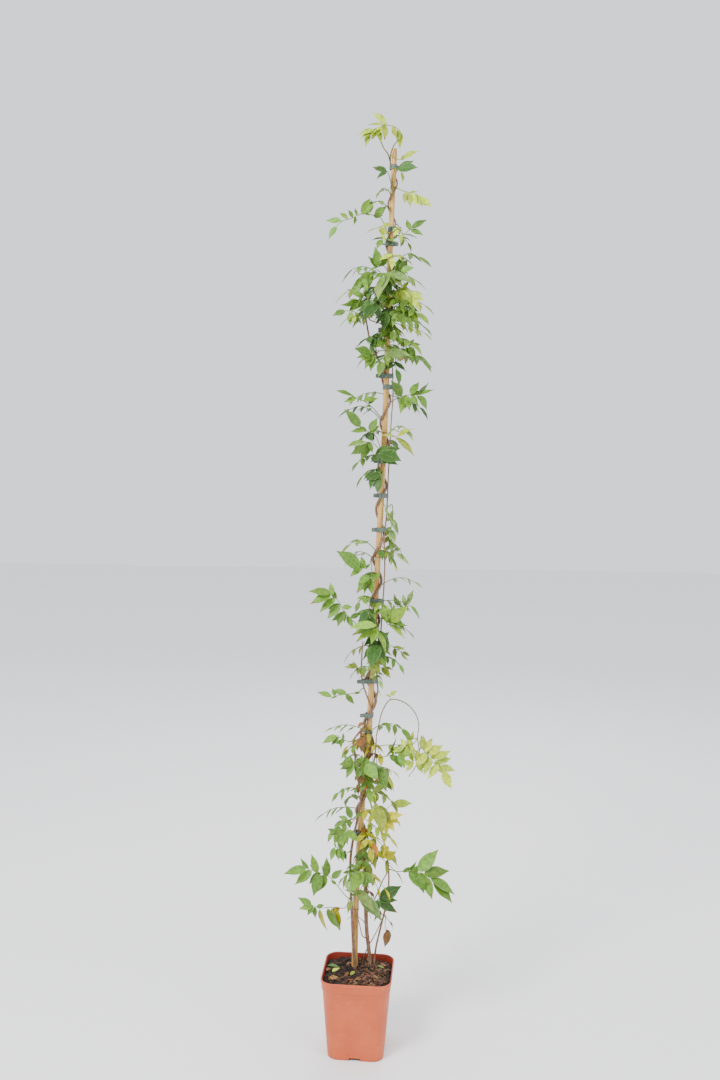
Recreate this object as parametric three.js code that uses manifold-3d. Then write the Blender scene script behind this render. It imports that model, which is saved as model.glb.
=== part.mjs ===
// A climbing wisteria in a square nursery pot, tied to a bamboo cane.
// Millimetres, +Z up, origin in the middle of the pot's flat underside, front of the plant towards -Y.
import * as THREE from "three";
import { mergeVertices } from "three/addons/utils/BufferGeometryUtils.js";
import Module from "manifold-3d";

const wasm = await Module();
wasm.setup();

// Gap between pieces that touch
const GAP = 0.35;

// Pot: a tapered rounded square with a rim collar and four drain notches at the foot
const POT_HEIGHT = 200;
const POT_TURN = THREE.MathUtils.degToRad(-5);
const POT_CORNER_STEPS = 3;
const POT_FLOOR = 2.5;
const POT_OUTSIDE = [
  { z: 0, half: 69, corner: 27 },
  { z: 174, half: 82.5, corner: 30 },
  { z: 176, half: 84.5, corner: 31 },
  { z: 191.5, half: 85.3, corner: 31 },
  { z: 193, half: 87, corner: 32 },
  { z: POT_HEIGHT, half: 87, corner: 32 },
];
const POT_INSIDE = [
  { z: POT_HEIGHT, half: 83.4, corner: 29 },
  { z: 190, half: 83, corner: 29 },
  { z: 176, half: 81, corner: 28.5 },
  { z: POT_FLOOR, half: 67.2, corner: 25.5 },
];
const NOTCH = { width: 27, height: 7, depth: 30, reach: 72 };

// Soil: fills the pot to 18 mm below the rim, with bark chips standing out of it
const SOIL_BOTTOM = POT_FLOOR + GAP;
const SOIL_TOP = 181;
const SOIL_EDGE_DEPTH = 9;
const SOIL_EDGE_DROP = 3;
const SOIL_WAVES = [
  { height: 2.4, acrossX: 0.11, acrossY: 0.13 },
  { height: 1.2, acrossX: 0.31, acrossY: 0.27 },
];
const SOIL_RINGS = [1, 0.8, 0.55, 0.25];
const CHIP = {
  count: 10, length: 10, width: 5, spread: 8, thickness: 3.5, tilt: 0.9, field: 128, rise: 0.6,
};
const HOLE_SIDES = 12;

// Cane: where its axis passes, its radius, and the heights of its joints
const CANE_WAY = [
  [-9, 39, 95], [-7, 34, 361], [4, 27, 600], [19, 22, 800], [27, 15, 1050],
  [40, 6, 1370], [47, 2, 1600], [51, 0, 1917], [59, 0, 2195],
];
const CANE_FOOT = 95;
const CANE_TOP = 2195;
const CANE_RADIUS = 7.7;
const CANE_TOP_RADIUS = 6;
const CANE_JOINTS = [340, 635, 930, 1230, 1530, 1825, 2105];
const CANE_JOINT_SWELL = 0.7;
const CANE_JOINT_HALF = 5;
const CANE_BETWEEN_JOINTS = 150;
const CANE_CLEARANCE = 0.65;
const CANE_HOLE_SPARE = 1.2;
const CANE_SIDES = 9;

// Main stem: rises from the soil, then winds round the cane, passing its front at these heights
const FRONT_TURNS = [
  503, 625, 735, 847, 957, 1050, 1144, 1254, 1378, 1476, 1580, 1690, 1795, 1900, 2000, 2090, 2190,
];
const WINDING_START = 515;
const WINDING_END = 2168;
const WINDING_STEPS = 8;
const WINDING_SAG = 0.5;
const WINDING_RADII = { foot: 3.7, top: 1.7 };
const MAIN_FOOT_RADIUS = 4.3;
const MAIN_FOOT = [
  [30, 34, 140], [30, 34, 200], [26, 30, 240], [21, 26, 282], [17, 20, 355], [15, 14, 434], [9, 15, 485],
];
const STEM_SIDES = 5;
const STEM_STEP = 34;
const STEM_FOOT_DEPTH = 140;

// The other stems. Those with foot: true stand in a hole of their own in the soil, and those
// with fromMain branch off the main stem at that height.
const STEMS = [
  {
    name: "left_stem", radii: [3.6, 1.5], foot: true,
    way: [[-8, 22, 140], [-8, 22, 200], [-12, 14, 246], [-17, 14, 334], [-22, 16, 420], [-22, 18, 483],
      [-17, 18, 521], [-11, 14, 555], [1, 6, 645], [-13, 2, 701], [-15, 0, 749], [-19, 0, 779],
      [-8, -2, 800], [8, 2, 806],
      [16, 4, 823], [23, 5, 851], [15, 2, 881], [6, 8, 904], [0, 8, 927], [-2, 6, 977], [1, 4, 1024]],
  },
  {
    name: "thin_stem", radii: [2.3, 1.3], foot: true,
    way: [[41, 36, 140], [41, 36, 200], [44, 31, 237], [63, 22, 331], [72, 18, 379], [73, 16, 442],
      [67, 14, 486], [52, 10, 546], [37, 8, 582], [27, 8, 612], [24, 6, 652], [31, 4, 716],
      [36, 4, 759], [37, 4, 788]],
  },
  {
    name: "crossing_shoot", radii: [1.3, 1.1], foot: true,
    way: [[12, 44, 140], [12, 44, 195], [20, 38, 228], [46, 26, 285], [63, 22, 329]],
  },
  {
    name: "straight_stem", radii: [1.7, 1.2], fromMain: 866,
    way: [[39, 15, 885], [36, 13, 930], [38, 13, 970], [43, 12, 1001], [44, 8, 1046], [48, 4, 1123],
      [51, 2, 1209], [49, 1, 1277], [53, -1, 1328], [56, -2, 1426], [59, -4, 1517], [62, -4, 1582],
      [64, -6, 1615], [63, -5, 1655], [60, -8, 1707]],
  },
  {
    name: "left_twig", radii: [1.7, 1.1], fromMain: 1663,
    way: [[29, -3, 1700], [18, -10, 1723], [7, -14, 1748], [-1, -14, 1785], [-7, -14, 1816]],
  },
  {
    name: "upper_twig", radii: [1.4, 1], fromMain: 1784,
    way: [[24, -8, 1790], [12, -14, 1793], [5, -15, 1796], [2, -14, 1806]],
  },
  { name: "upright_twig", radii: [1.3, 1], way: [[24, -7, 1711], [20, -15, 1738], [19, -18, 1757]] },
  {
    name: "drooping_twig", radii: [1.1, 0.8],
    way: [[44, 9.5, 1030], [51, 16, 1022], [55, 22, 999], [58, 26, 954]],
  },
  { name: "low_side_twig", radii: [1.3, 0.9], way: [[15, 14, 428], [26, 12, 458], [36, 10, 474]] },
  {
    name: "low_link", radii: [1.5, 1.2],
    way: [[19, 22, 331], [34, 14, 362], [47, 10, 393], [60, 12, 425], [72, 16.5, 444]],
  },
  {
    name: "low_hooked_twig", radii: [1.4, 1],
    way: [[23, 27, 264], [15, 23, 264], [6, 20, 290], [-5, 16, 337]],
  },
];

// Young shoots that carry leaves of their own, each going on from the end of a stem
const SHOOT_START = [GAP, 5];
const SHOOTS = {
  shoot: {
    radii: [1.5, 1], growsFrom: "vine",
    way: [[43, -10, 2180], [33, -8, 2194], [25, -6, 2216], [24, -4, 2230]],
  },
  brown_shoot: {
    radii: [1.5, 0.9], growsFrom: "vine",
    way: [[51, -12, 2186], [55, -11, 2197], [61, 0, 2209], [69, 4, 2219]],
  },
  arch: {
    radii: [1.3, 0.8], growsFrom: "thin_stem",
    way: [[40, -2, 802], [47, -6, 844], [64, -12, 878], [79, -16, 889], [97, -18, 882], [115, -20, 868],
      [132, -20, 851], [139, -18, 826], [137, -16, 791], [141, -16, 748], [132, -14, 715], [116, -12, 692]],
  },
};

// Ties: flat plastic tape round the cane and the stems beside it, with the stapled end sticking out
const TIE_HEIGHT = 11;
const TIE_THICKNESS = 0.9;
const TIE_REACH = 27;
const TIE_LEVELS = [-0.5, -0.25, 0, 0.25, 0.5];
const BAND_SIDES = 6;
const LEAST_EDGE = 0.8;
const LEAST_STEEPNESS = 0.35;
const FLAP = { length: 11, thickness: 1.8, sunk: 0.9, height: 10.1 };
const TIES = [
  { z: 538, flap: -20, tail: 16 }, { z: 795, flap: 170 }, { z: 838, flap: 200 }, { z: 923, flap: 190 },
  { z: 1122, flap: 150 }, { z: 1296, flap: 185 }, { z: 1379, flap: 190 }, { z: 1462, flap: 140 },
  { z: 1639, flap: -30 }, { z: 1665, flap: 185 }, { z: 1775, flap: 160 }, { z: 1975, flap: 0 },
  { z: 2008, flap: -8, tail: 14 }, { z: 2153, flap: 20, tail: 6 },
];

// Leaf stalks and where they leave their stems
const STALK = { radius: 1.25, tipRadius: 0.8, step: 42, sides: 3 };
const CURVE_STEPS = 200;
const BUD = { length: 5, turn: 0.6, spacing: 8, clearOfTie: 3, wrongSide: 30 };

// Leaf blades: outlines are [share of the length, share of the width], angles are in degrees
const BLADE_THICKNESS = 1.3;
const BLADE_ROOT = 0.5;
const TRUE_BLADE_WIDTH = 0.38;
const SMALL_BLADE = 45;
const SMALL_OUTLINE = [[0.42, 0.5]];
const LARGE_OUTLINE = [[0.28, 0.45], [0.66, 0.37]];
const BLADE_FOLD = 0.2;
const BLADE_DROOP = { least: 0.05, spread: 0.07 };
const LEAN = { back: 16, spread: 4, most: 52 };
const LEAST_ROLL = 24;

// Leaves: each has a stalk that passes the places in way, and blades given as
// [place along the stalk 0 to 1, direction seen from the front in degrees (0 right, 90 up),
//  length, share of the length that its width takes up seen from the front, and for a few
//  how many degrees it leans back]
const LEAVES = [
  {
    name: "top_shoots", shoots: ["shoot", "brown_shoot"], tint: "lime",
    leaves: [
      {
        way: [[24, -4, 2234], [30, -10, 2246], [39, -16, 2247]],
        blades: [
          [0.3, 212, 48, 0.2], [0.45, 232, 36, 0.35], [0.6, 168, 34, 0.25], [0.75, -86, 34, 0.35],
          [1, 150, 34, 0.4],
        ],
      },
      {
        way: [[33, 4, 2250], [49, 6, 2250], [64, 8, 2246], [73, 8, 2236]],
        blades: [
          [0.45, -72, 29, 0.3], [0.8, -93, 29, 0.4], [1, -96, 34, 0.4],
        ],
      },
      {
        way: [[69, -14, 2166], [76, -18, 2168]],
        blades: [
          [0.4, 40, 19, 0.3], [1, 22, 36, 0.3],
        ],
      },
    ],
  },
  {
    name: "leaves_at_top_tie", stem: "vine", tint: "dark",
    leaves: [
      {
        way: [[43, -22, 2136], [39, -30, 2136]],
        blades: [
          [0.5, 158, 34, 0.4], [1, 186, 22, 0.5], [0.3, 215, 29, 0.3],
        ],
      },
      {
        way: [[57, -26, 2137], [66, -34, 2140]],
        blades: [
          [1, -3, 39, 0.5],
        ],
      },
    ],
  },
  {
    name: "leaf_upper_lime", stem: "vine", tint: "lime",
    leaves: [
      {
        way: [[73, -8, 2099], [91, -16, 2092], [107, -22, 2086], [117, -26, 2079]],
        blades: [
          [0.3, -98, 27, 0.35], [0.45, -84, 31, 0.35], [0.6, -70, 31, 0.35], [0.75, -62, 31, 0.35],
          [0.9, -54, 29, 0.35], [0.5, 18, 19, 0.3], [1, -40, 36, 0.35],
        ],
      },
    ],
  },
  {
    name: "leaves_upper_left", stem: "vine", tint: "green",
    leaves: [
      {
        way: [
          [26, -16, 2034], [3, -24, 2037], [-21, -30, 2036],
          [-39, -34, 2026], [-62, -36, 2019], [-74, -38, 2007],
        ],
        blades: [
          [0.14, 36, 34, 0.55], [0.26, 82, 36, 0.55], [0.42, 60, 44, 0.38], [0.52, 100, 19, 0.3],
          [0.62, 112, 19, 0.3], [0.72, 135, 22, 0.35], [0.85, 172, 31, 0.35], [0.55, -95, 19, 0.3],
          [1, 236, 27, 0.3],
        ],
      },
      {
        way: [[36, -22, 2012], [24, -28, 2008], [17, -30, 2005]],
        blades: [
          [0.2, 15, 22, 0.5], [0.5, -48, 27, 0.35], [0.8, -60, 39, 0.2], [1, 205, 24, 0.12],
        ],
      },
    ],
  },
  {
    name: "leaf_upper_right", stem: "vine", tint: "green",
    leaves: [
      {
        way: [[75, 12, 1997], [92, 14, 2007], [101, 14, 2014]],
        blades: [
          [0.35, -14, 31, 0.16], [0.85, 102, 27, 0.5], [0.93, -24, 31, 0.38], [1, 35, 41, 0.32],
        ],
      },
    ],
  },
  {
    name: "leaves_below_upper_tie", stem: "vine", tint: "green",
    leaves: [
      {
        way: [[37, -26, 1919], [23, -34, 1915]],
        blades: [
          [0.6, 62, 36, 0.42], [0.7, 200, 27, 0.2], [1, 98, 39, 0.48],
        ],
      },
      {
        way: [[59, -25, 1905], [75, -30, 1907]],
        blades: [
          [0.25, 62, 41, 0.3], [0.55, 40, 27, 0.3], [0.8, 52, 36, 0.5], [1, 14, 31, 0.45],
        ],
      },
    ],
  },
  {
    name: "leaves_dense_left", stem: "vine", tint: "green",
    leaves: [
      {
        way: [[23, -34, 1908], [5, -52, 1898], [-16, -58, 1882]],
        blades: [
          [0.4, 232, 53, 0.5], [0.7, 165, 22, 0.2], [0.85, 228, 34, 0.35], [1, 245, 34, 0.35],
          [0.92, -66, 29, 0.4],
        ],
      },
      {
        way: [[20, -26, 1844], [-4, -44, 1841], [-22, -52, 1835]],
        blades: [
          [0.4, 118, 29, 0.5], [0.45, 238, 34, 0.5], [0.7, 146, 44, 0.3], [0.8, 232, 34, 0.4],
          [0.95, 205, 41, 0.18], [1, 186, 22, 0.3],
        ],
      },
    ],
  },
  {
    name: "leaf_dense_pale", stem: "vine", tint: "pale",
    leaves: [
      {
        way: [[47, -38, 1908], [47, -50, 1896]],
        blades: [
          [0.55, -22, 58, 0.28], [0.75, -62, 36, 0.4], [0.9, -38, 44, 0.3], [1, 246, 63, 0.22],
        ],
      },
    ],
  },
  {
    name: "leaves_dense_right", stem: "vine", tint: "lime",
    leaves: [
      {
        way: [[62, -30, 1868], [80, -42, 1861], [101, -48, 1856]],
        blades: [
          [0.3, -84, 39, 0.42], [0.45, -58, 41, 0.42], [0.5, 55, 27, 0.3], [0.65, -70, 41, 0.42],
          [0.85, -60, 46, 0.38], [1, -34, 34, 0.45],
        ],
      },
      {
        way: [[67, -12, 1831], [88, -20, 1828], [105, -24, 1820]],
        blades: [
          [0.4, -82, 36, 0.45], [0.65, -68, 39, 0.42], [0.85, -20, 22, 0.3], [1, -72, 39, 0.32],
        ],
      },
    ],
  },
  {
    name: "leaf_left_of_vine", stem: "left_twig", tint: "green",
    leaves: [
      {
        way: [[-20, -12, 1809], [-36, -20, 1814], [-51, -24, 1814]],
        blades: [
          [0.3, -66, 29, 0.3], [0.6, -98, 31, 0.45], [0.75, 62, 24, 0.2], [1, 200, 31, 0.42],
        ],
      },
    ],
  },
  {
    name: "leaves_dense_front", stem: "vine", tint: "dark",
    leaves: [
      {
        way: [[24, -52, 1836], [15, -78, 1820]],
        blades: [
          [0.4, 50, 34, 0.5], [0.5, 204, 36, 0.5], [0.75, -72, 36, 0.5], [0.8, 166, 29, 0.5],
          [1, 236, 36, 0.5],
        ],
      },
      {
        way: [[57, -42, 1817], [71, -62, 1803]],
        blades: [
          [0.35, -106, 36, 0.45], [0.55, -50, 34, 0.42], [0.6, 40, 29, 0.5], [0.85, -112, 31, 0.4],
          [1, -62, 31, 0.45],
        ],
      },
    ],
  },
  {
    name: "leaves_at_third_tie", stem: "vine", tint: "green",
    leaves: [
      {
        way: [[44, -44, 1759]],
        blades: [
          [0.6, -46, 48, 0.25], [0.75, 205, 36, 0.45], [1, -22, 39, 0.5],
        ],
      },
    ],
  },
  {
    name: "leaves_mid_right", stem: "straight_stem", tint: "green",
    leaves: [
      {
        way: [[75, 12, 1728], [92, 16, 1736], [106, 18, 1741]],
        blades: [
          [0.25, -40, 29, 0.3], [0.45, 105, 24, 0.45], [0.65, -74, 34, 0.35], [0.8, 48, 22, 0.4],
          [0.85, -64, 34, 0.4], [1, 8, 22, 0.4],
        ],
      },
      {
        way: [[85, 34, 1714], [117, 46, 1719]],
        blades: [
          [1, -28, 51, 0.2],
        ],
      },
    ],
  },
  {
    name: "leaves_mid_front", stem: "vine", tint: "olive",
    leaves: [
      {
        way: [[45, -42, 1722], [52, -54, 1721]],
        blades: [
          [0.5, 150, 22, 0.3], [0.6, -14, 53, 0.22], [0.75, -28, 46, 0.24], [1, -38, 36, 0.45],
        ],
      },
      {
        way: [[22, -28, 1709], [10, -40, 1712]],
        blades: [
          [0.35, -104, 36, 0.42], [0.5, 236, 36, 0.42], [0.55, 106, 29, 0.35], [0.8, 192, 34, 0.38],
          [1, 164, 34, 0.48],
        ],
      },
    ],
  },
  {
    name: "leaf_right_of_tie", stem: "straight_stem", tint: "green",
    leaves: [
      {
        way: [[78, -14, 1616], [97, -22, 1619], [115, -28, 1619], [129, -30, 1620]],
        blades: [
          [0.14, 128, 39, 0.5, -34], [0.2, -98, 39, 0.42], [0.35, -76, 34, 0.45], [0.55, 62, 36, 0.42],
          [0.6, -60, 27, 0.5], [0.78, 40, 41, 0.2], [0.82, -54, 27, 0.24], [0.95, -64, 36, 0.4],
          [1, 27, 31, 0.2],
        ],
      },
    ],
  },
  {
    name: "leaf_left_of_tie", stem: "vine", tint: "green",
    leaves: [
      {
        way: [[19, -20, 1585], [2, -30, 1599], [-17, -38, 1607], [-34, -44, 1614]],
        blades: [
          [0.15, 175, 15, 0.3], [0.3, 44, 22, 0.5], [0.55, 12, 36, 0.3], [0.8, 196, 29, 0.38],
          [0.85, 148, 19, 0.15], [1, 158, 36, 0.22],
        ],
      },
    ],
  },
  {
    name: "leaves_second", stem: "vine", tint: "green",
    leaves: [
      {
        way: [[20, -30, 1526], [3, -44, 1532], [-11, -50, 1541]],
        blades: [
          [0.35, 66, 36, 0.5], [0.55, 150, 22, 0.4], [0.7, 186, 31, 0.32], [1, 134, 51, 0.36],
        ],
      },
      {
        way: [[18, -36, 1504], [3, -50, 1506]],
        blades: [
          [0.35, 238, 44, 0.42], [0.6, 216, 48, 0.42], [0.65, -70, 24, 0.4], [1, 190, 41, 0.2],
        ],
      },
      {
        way: [[37, -40, 1479]],
        blades: [
          [0.7, -34, 41, 0.5], [0.8, 214, 29, 0.45], [1, -14, 41, 0.5],
        ],
      },
      {
        way: [[35, -36, 1422]],
        blades: [
          [0.8, 204, 36, 0.5], [1, -100, 34, 0.55],
        ],
      },
    ],
  },
  {
    name: "leaf_thin_right", stem: "straight_stem", tint: "lime",
    leaves: [
      {
        way: [[66, -14, 1520], [75, -20, 1523]],
        blades: [
          [0.4, -40, 60, 0.2], [0.5, 172, 29, 0.15, -30], [1, 26, 34, 0.25],
        ],
      },
    ],
  },
  {
    name: "leaf_hanging_pale", stem: "straight_stem", tint: "pale",
    leaves: [
      {
        way: [[66, 10, 1359], [69, 16, 1325], [63, 20, 1285], [66, 22, 1253], [78, 20, 1239]],
        blades: [
          [0.12, -100, 34, 0.22], [0.25, 214, 22, 0.35], [0.3, -72, 31, 0.4], [0.45, 232, 29, 0.4],
          [0.5, -70, 31, 0.35], [0.64, 226, 24, 0.4], [0.68, -78, 34, 0.32], [0.82, 222, 19, 0.45],
          [0.9, -95, 27, 0.4], [0.94, 20, 19, 0.3], [1, -36, 41, 0.2],
        ],
      },
    ],
  },
  {
    name: "leaves_third_left", stem: "vine", tint: "green",
    leaves: [
      {
        way: [[10, -16, 1205], [-7, -28, 1206]],
        blades: [
          [0.3, 52, 15, 0.4], [0.4, 112, 29, 0.45], [0.7, 132, 39, 0.25], [0.75, 205, 24, 0.4],
          [0.9, 160, 44, 0.32], [0.95, 214, 31, 0.35], [1, 140, 63, 0.32],
        ],
      },
      {
        way: [[18, -18, 1183], [13, -24, 1188]],
        blades: [
          [0.3, -86, 39, 0.35], [0.6, 228, 46, 0.38], [1, 212, 29, 0.42],
        ],
      },
    ],
  },
  {
    name: "leaf_third_left_long", stem: "vine", tint: "green",
    leaves: [
      {
        way: [[-22, -26, 1075], [-43, -36, 1098], [-60, -44, 1128], [-77, -50, 1147]],
        blades: [
          [0.15, 26, 27, 0.35], [0.25, -64, 29, 0.42], [0.32, 204, 34, 0.38], [0.42, 246, 36, 0.42],
          [0.52, 2, 24, 0.5], [0.6, 226, 41, 0.48], [0.78, 122, 27, 0.42], [0.82, 218, 46, 0.3],
          [0.92, 108, 29, 0.5], [0.96, 200, 51, 0.3], [1, 170, 48, 0.28],
        ],
      },
    ],
  },
  {
    name: "leaves_third_right", stem: "straight_stem", tint: "olive",
    leaves: [
      {
        way: [[61, -16, 1067], [67, -24, 1076]],
        blades: [
          [0.35, -34, 46, 0.16], [0.55, 122, 39, 0.4], [0.7, -4, 39, 0.15], [0.75, 100, 41, 0.4],
          [0.9, 30, 29, 0.2], [0.92, 76, 41, 0.4], [1, 52, 53, 0.32],
        ],
      },
      {
        way: [[75, 14, 1107], [93, 20, 1109], [110, 24, 1114]],
        blades: [
          [0.3, 112, 29, 0.3], [0.5, 128, 24, 0.4], [0.55, -70, 19, 0.35], [0.75, 98, 24, 0.4],
          [0.85, 52, 24, 0.4], [1, 72, 34, 0.3],
        ],
      },
    ],
  },
  {
    name: "leaf_third_front_lime", stem: "vine", tint: "lime",
    leaves: [
      {
        way: [[34, -44, 1049], [33, -56, 1073]],
        blades: [
          [0.45, -62, 53, 0.16], [0.6, 206, 53, 0.2], [0.72, 248, 36, 0.55], [0.85, 192, 58, 0.18],
          [1, 178, 60, 0.18],
        ],
      },
    ],
  },
  {
    name: "leaves_fourth_front", stem: "vine", tint: "dark",
    leaves: [
      {
        way: [[11, -42, 1104]],
        blades: [
          [0.5, 112, 27, 0.4], [0.6, 244, 34, 0.45], [0.8, 208, 31, 0.4], [1, 228, 29, 0.4],
        ],
      },
      {
        way: [[37, -38, 1032], [34, -50, 1026]],
        blades: [
          [0.4, 42, 34, 0.5], [0.5, -30, 31, 0.35], [0.7, 222, 34, 0.5], [0.8, -64, 39, 0.45],
          [1, -112, 41, 0.5],
        ],
      },
    ],
  },
  {
    name: "leaves_fourth_sides", stem: "straight_stem", tint: "olive",
    leaves: [
      {
        way: [[64, 10, 1014], [84, 16, 1001], [97, 18, 996]],
        blades: [
          [0.3, -8, 29, 0.15], [0.45, -84, 22, 0.5], [0.65, 20, 19, 0.15], [0.9, -54, 27, 0.2],
          [1, -26, 22, 0.3],
        ],
      },
      {
        way: [[43, -12, 961], [50, -16, 964]],
        blades: [
          [0.4, -40, 29, 0.33], [0.85, -36, 22, 0.38], [1, -4, 22, 0.15],
        ],
      },
    ],
  },
  {
    name: "leaf_fourth_left", stem: "left_stem", tint: "olive",
    leaves: [
      {
        way: [[-6, -14, 958], [-15, -20, 964]],
        blades: [
          [0.4, -50, 24, 0.35], [0.6, 134, 19, 0.4], [0.8, 178, 29, 0.22], [1, 152, 19, 0.4],
        ],
      },
    ],
  },
  {
    name: "leaf_fifth_left", stem: "left_stem", tint: "green",
    leaves: [
      {
        way: [[-10, 12, 895], [-34, 20, 889], [-59, 28, 883], [-74, 32, 878]],
        blades: [
          [0.15, 5, 15, 0.3], [0.42, 166, 36, 0.28], [0.48, -42, 29, 0.35], [0.8, 205, 15, 0.3],
          [0.88, 108, 19, 0.5], [1, 161, 36, 0.24],
        ],
      },
    ],
  },
  {
    name: "leaf_sixth_left", stem: "left_stem", tint: "green",
    leaves: [
      {
        way: [[-28, -6, 776], [-45, -12, 784], [-59, -18, 795]],
        blades: [
          [0.35, 198, 22, 0.42], [0.45, 98, 15, 0.4], [0.6, -98, 22, 0.32], [0.85, 226, 24, 0.42],
          [1, 204, 36, 0.32],
        ],
      },
    ],
  },
  {
    name: "withered_leaves", stem: "left_stem", tint: "brown",
    leaves: [
      {
        way: [[9, -34, 791]],
        blades: [
          [0.6, -88, 29, 0.5], [0.75, 252, 36, 0.5], [1, 196, 22, 0.5],
        ],
      },
    ],
  },
  {
    name: "leaves_seventh_front", stem: "left_stem", tint: "green",
    leaves: [
      {
        way: [[-12, -30, 730], [-22, -38, 733]],
        blades: [
          [0.3, -70, 27, 0.4], [0.55, 238, 36, 0.36], [0.6, 122, 19, 0.3], [0.8, 206, 31, 0.42],
          [0.85, 146, 31, 0.3], [1, 176, 27, 0.48],
        ],
      },
      {
        way: [[10, -38, 731]],
        blades: [
          [0.6, 76, 19, 0.5], [0.75, -84, 31, 0.45], [1, -38, 36, 0.48],
        ],
      },
    ],
  },
  {
    name: "leaves_seventh_right", stem: "thin_stem", tint: "green",
    leaves: [
      {
        way: [[56, -14, 742], [80, -24, 752], [99, -30, 759]],
        blades: [
          [0.12, 54, 48, 0.16], [0.3, -28, 29, 0.38], [0.5, -52, 36, 0.34], [0.62, 58, 24, 0.42],
          [0.8, -62, 36, 0.4], [0.85, 35, 22, 0.4], [1, -18, 22, 0.45],
        ],
      },
      {
        way: [[39, -28, 726]],
        blades: [
          [1, -62, 44, 0.38],
        ],
      },
    ],
  },
  {
    name: "leaves_eighth_right", stem: "thin_stem", tint: "olive",
    leaves: [
      {
        way: [[47, -16, 682], [62, -24, 685]],
        blades: [
          [0.4, 186, 22, 0.5], [0.75, 72, 29, 0.42], [0.85, 222, 41, 0.5], [1, -52, 22, 0.5],
        ],
      },
      {
        way: [[33, -14, 627], [41, -22, 624]],
        blades: [
          [0.3, 104, 29, 0.4], [0.6, -58, 31, 0.4], [0.85, -100, 34, 0.42], [1, -76, 48, 0.42],
        ],
      },
      {
        way: [[56, -2, 605], [78, 2, 618]],
        blades: [
          [1, 4, 48, 0.28],
        ],
      },
    ],
  },
  {
    name: "leaf_ninth_yellow", stem: "thin_stem", tint: "yellow",
    leaves: [
      {
        way: [[51, -16, 590], [61, -22, 596]],
        blades: [
          [0.35, -104, 34, 0.35], [0.55, -74, 39, 0.35], [0.75, -50, 39, 0.32], [0.9, -14, 36, 0.38],
          [1, 17, 39, 0.36],
        ],
      },
    ],
  },
  {
    name: "leaves_tenth_yellow", stem: "thin_stem", tint: "yellow",
    leaves: [
      {
        way: [[76, 1, 486], [62, -12, 488]],
        blades: [
          [0.4, 112, 34, 0.4], [0.6, 158, 34, 0.48], [1, 50, 34, 0.44],
        ],
      },
    ],
  },
  {
    name: "leaves_ninth_left", stem: "left_stem", tint: "green",
    leaves: [
      {
        way: [[-8, -20, 596], [-22, -28, 591], [-37, -32, 587]],
        blades: [
          [0.25, 28, 24, 0.4], [0.5, 112, 31, 0.5], [0.75, 162, 24, 0.32], [1, 200, 27, 0.3],
        ],
      },
      {
        way: [[-27, -30, 571], [-41, -40, 565], [-58, -44, 561]],
        blades: [
          [0.3, -38, 39, 0.33], [0.38, 192, 34, 0.33], [0.48, -70, 31, 0.4], [0.62, -90, 44, 0.45],
          [0.72, 240, 22, 0.4], [0.95, -60, 34, 0.48], [1, 146, 22, 0.42],
        ],
      },
    ],
  },
  {
    name: "leaf_tenth_left", stem: "left_stem", tint: "green",
    leaves: [
      {
        way: [[-29, -10, 499], [-46, -18, 512], [-61, -22, 518]],
        blades: [
          [0.35, -78, 22, 0.45], [0.6, -80, 29, 0.45], [0.82, -84, 27, 0.42], [0.9, 120, 12, 0.4],
          [1, -108, 31, 0.35],
        ],
      },
    ],
  },
  {
    name: "leaves_low_left", stem: "left_stem", tint: "green",
    leaves: [
      {
        way: [
          [-35, -10, 392], [-57, -20, 424], [-74, -28, 445],
          [-96, -36, 458], [-116, -40, 466], [-128, -44, 472],
        ],
        blades: [
          [0.3, 150, 15, 0.5], [0.46, 38, 31, 0.45], [0.55, 98, 39, 0.45], [0.58, 240, 39, 0.43],
          [0.72, 252, 51, 0.45], [0.76, 118, 41, 0.42], [0.88, 214, 48, 0.33], [0.95, 136, 31, 0.33],
          [1, 186, 51, 0.25],
        ],
      },
      {
        way: [[-34, -12, 360], [-54, -20, 365], [-76, -28, 368], [-100, -34, 369], [-115, -38, 378]],
        blades: [
          [0.15, 200, 29, 0.3], [0.3, -80, 51, 0.38], [0.42, -68, 48, 0.22], [0.54, -62, 56, 0.3],
          [0.76, -73, 51, 0.22], [0.86, 12, 19, 0.45], [0.9, -88, 24, 0.5], [0.95, 236, 24, 0.45],
          [0.97, 190, 31, 0.38], [1, 148, 36, 0.38],
        ],
      },
    ],
  },
  {
    name: "leaves_low_front", stem: "vine", tint: "green",
    leaves: [
      {
        way: [[6, -40, 466]],
        blades: [
          [0.6, -72, 34, 0.28], [0.75, 206, 44, 0.4], [0.85, -42, 39, 0.33], [1, 230, 36, 0.48],
        ],
      },
      {
        way: [[-3, -42, 411], [-8, -52, 425]],
        blades: [
          [0.5, -42, 82, 0.2], [0.75, 152, 36, 0.5], [1, -38, 53, 0.25],
        ],
      },
    ],
  },
  {
    name: "leaf_low_right_dark", stem: "thin_stem", tint: "dark",
    leaves: [
      {
        way: [[56, -22, 389], [46, -30, 392]],
        blades: [
          [0.45, -36, 48, 0.5], [0.8, 26, 58, 0.42], [1, -102, 31, 0.45],
        ],
      },
    ],
  },
  {
    name: "leaf_low_right", stem: "thin_stem", tint: "green",
    leaves: [
      {
        way: [[95, -14, 455], [119, -22, 460], [141, -28, 460], [163, -33, 453], [177, -36, 446]],
        blades: [
          [0.12, 15, 27, 0.5], [0.28, -38, 63, 0.28], [0.34, 14, 36, 0.45], [0.56, 43, 68, 0.36],
          [0.62, -78, 44, 0.46], [0.72, 4, 63, 0.27], [0.84, -78, 51, 0.38], [0.92, -24, 65, 0.16],
          [1, -43, 68, 0.26],
        ],
      },
    ],
  },
  {
    name: "leaf_dead_low", stem: "thin_stem", tint: "brown",
    leaves: [
      {
        way: [[65, -14, 322], [68, -16, 307]],
        blades: [
          [1, -86, 41, 0.42],
        ],
      },
    ],
  },
  {
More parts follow.
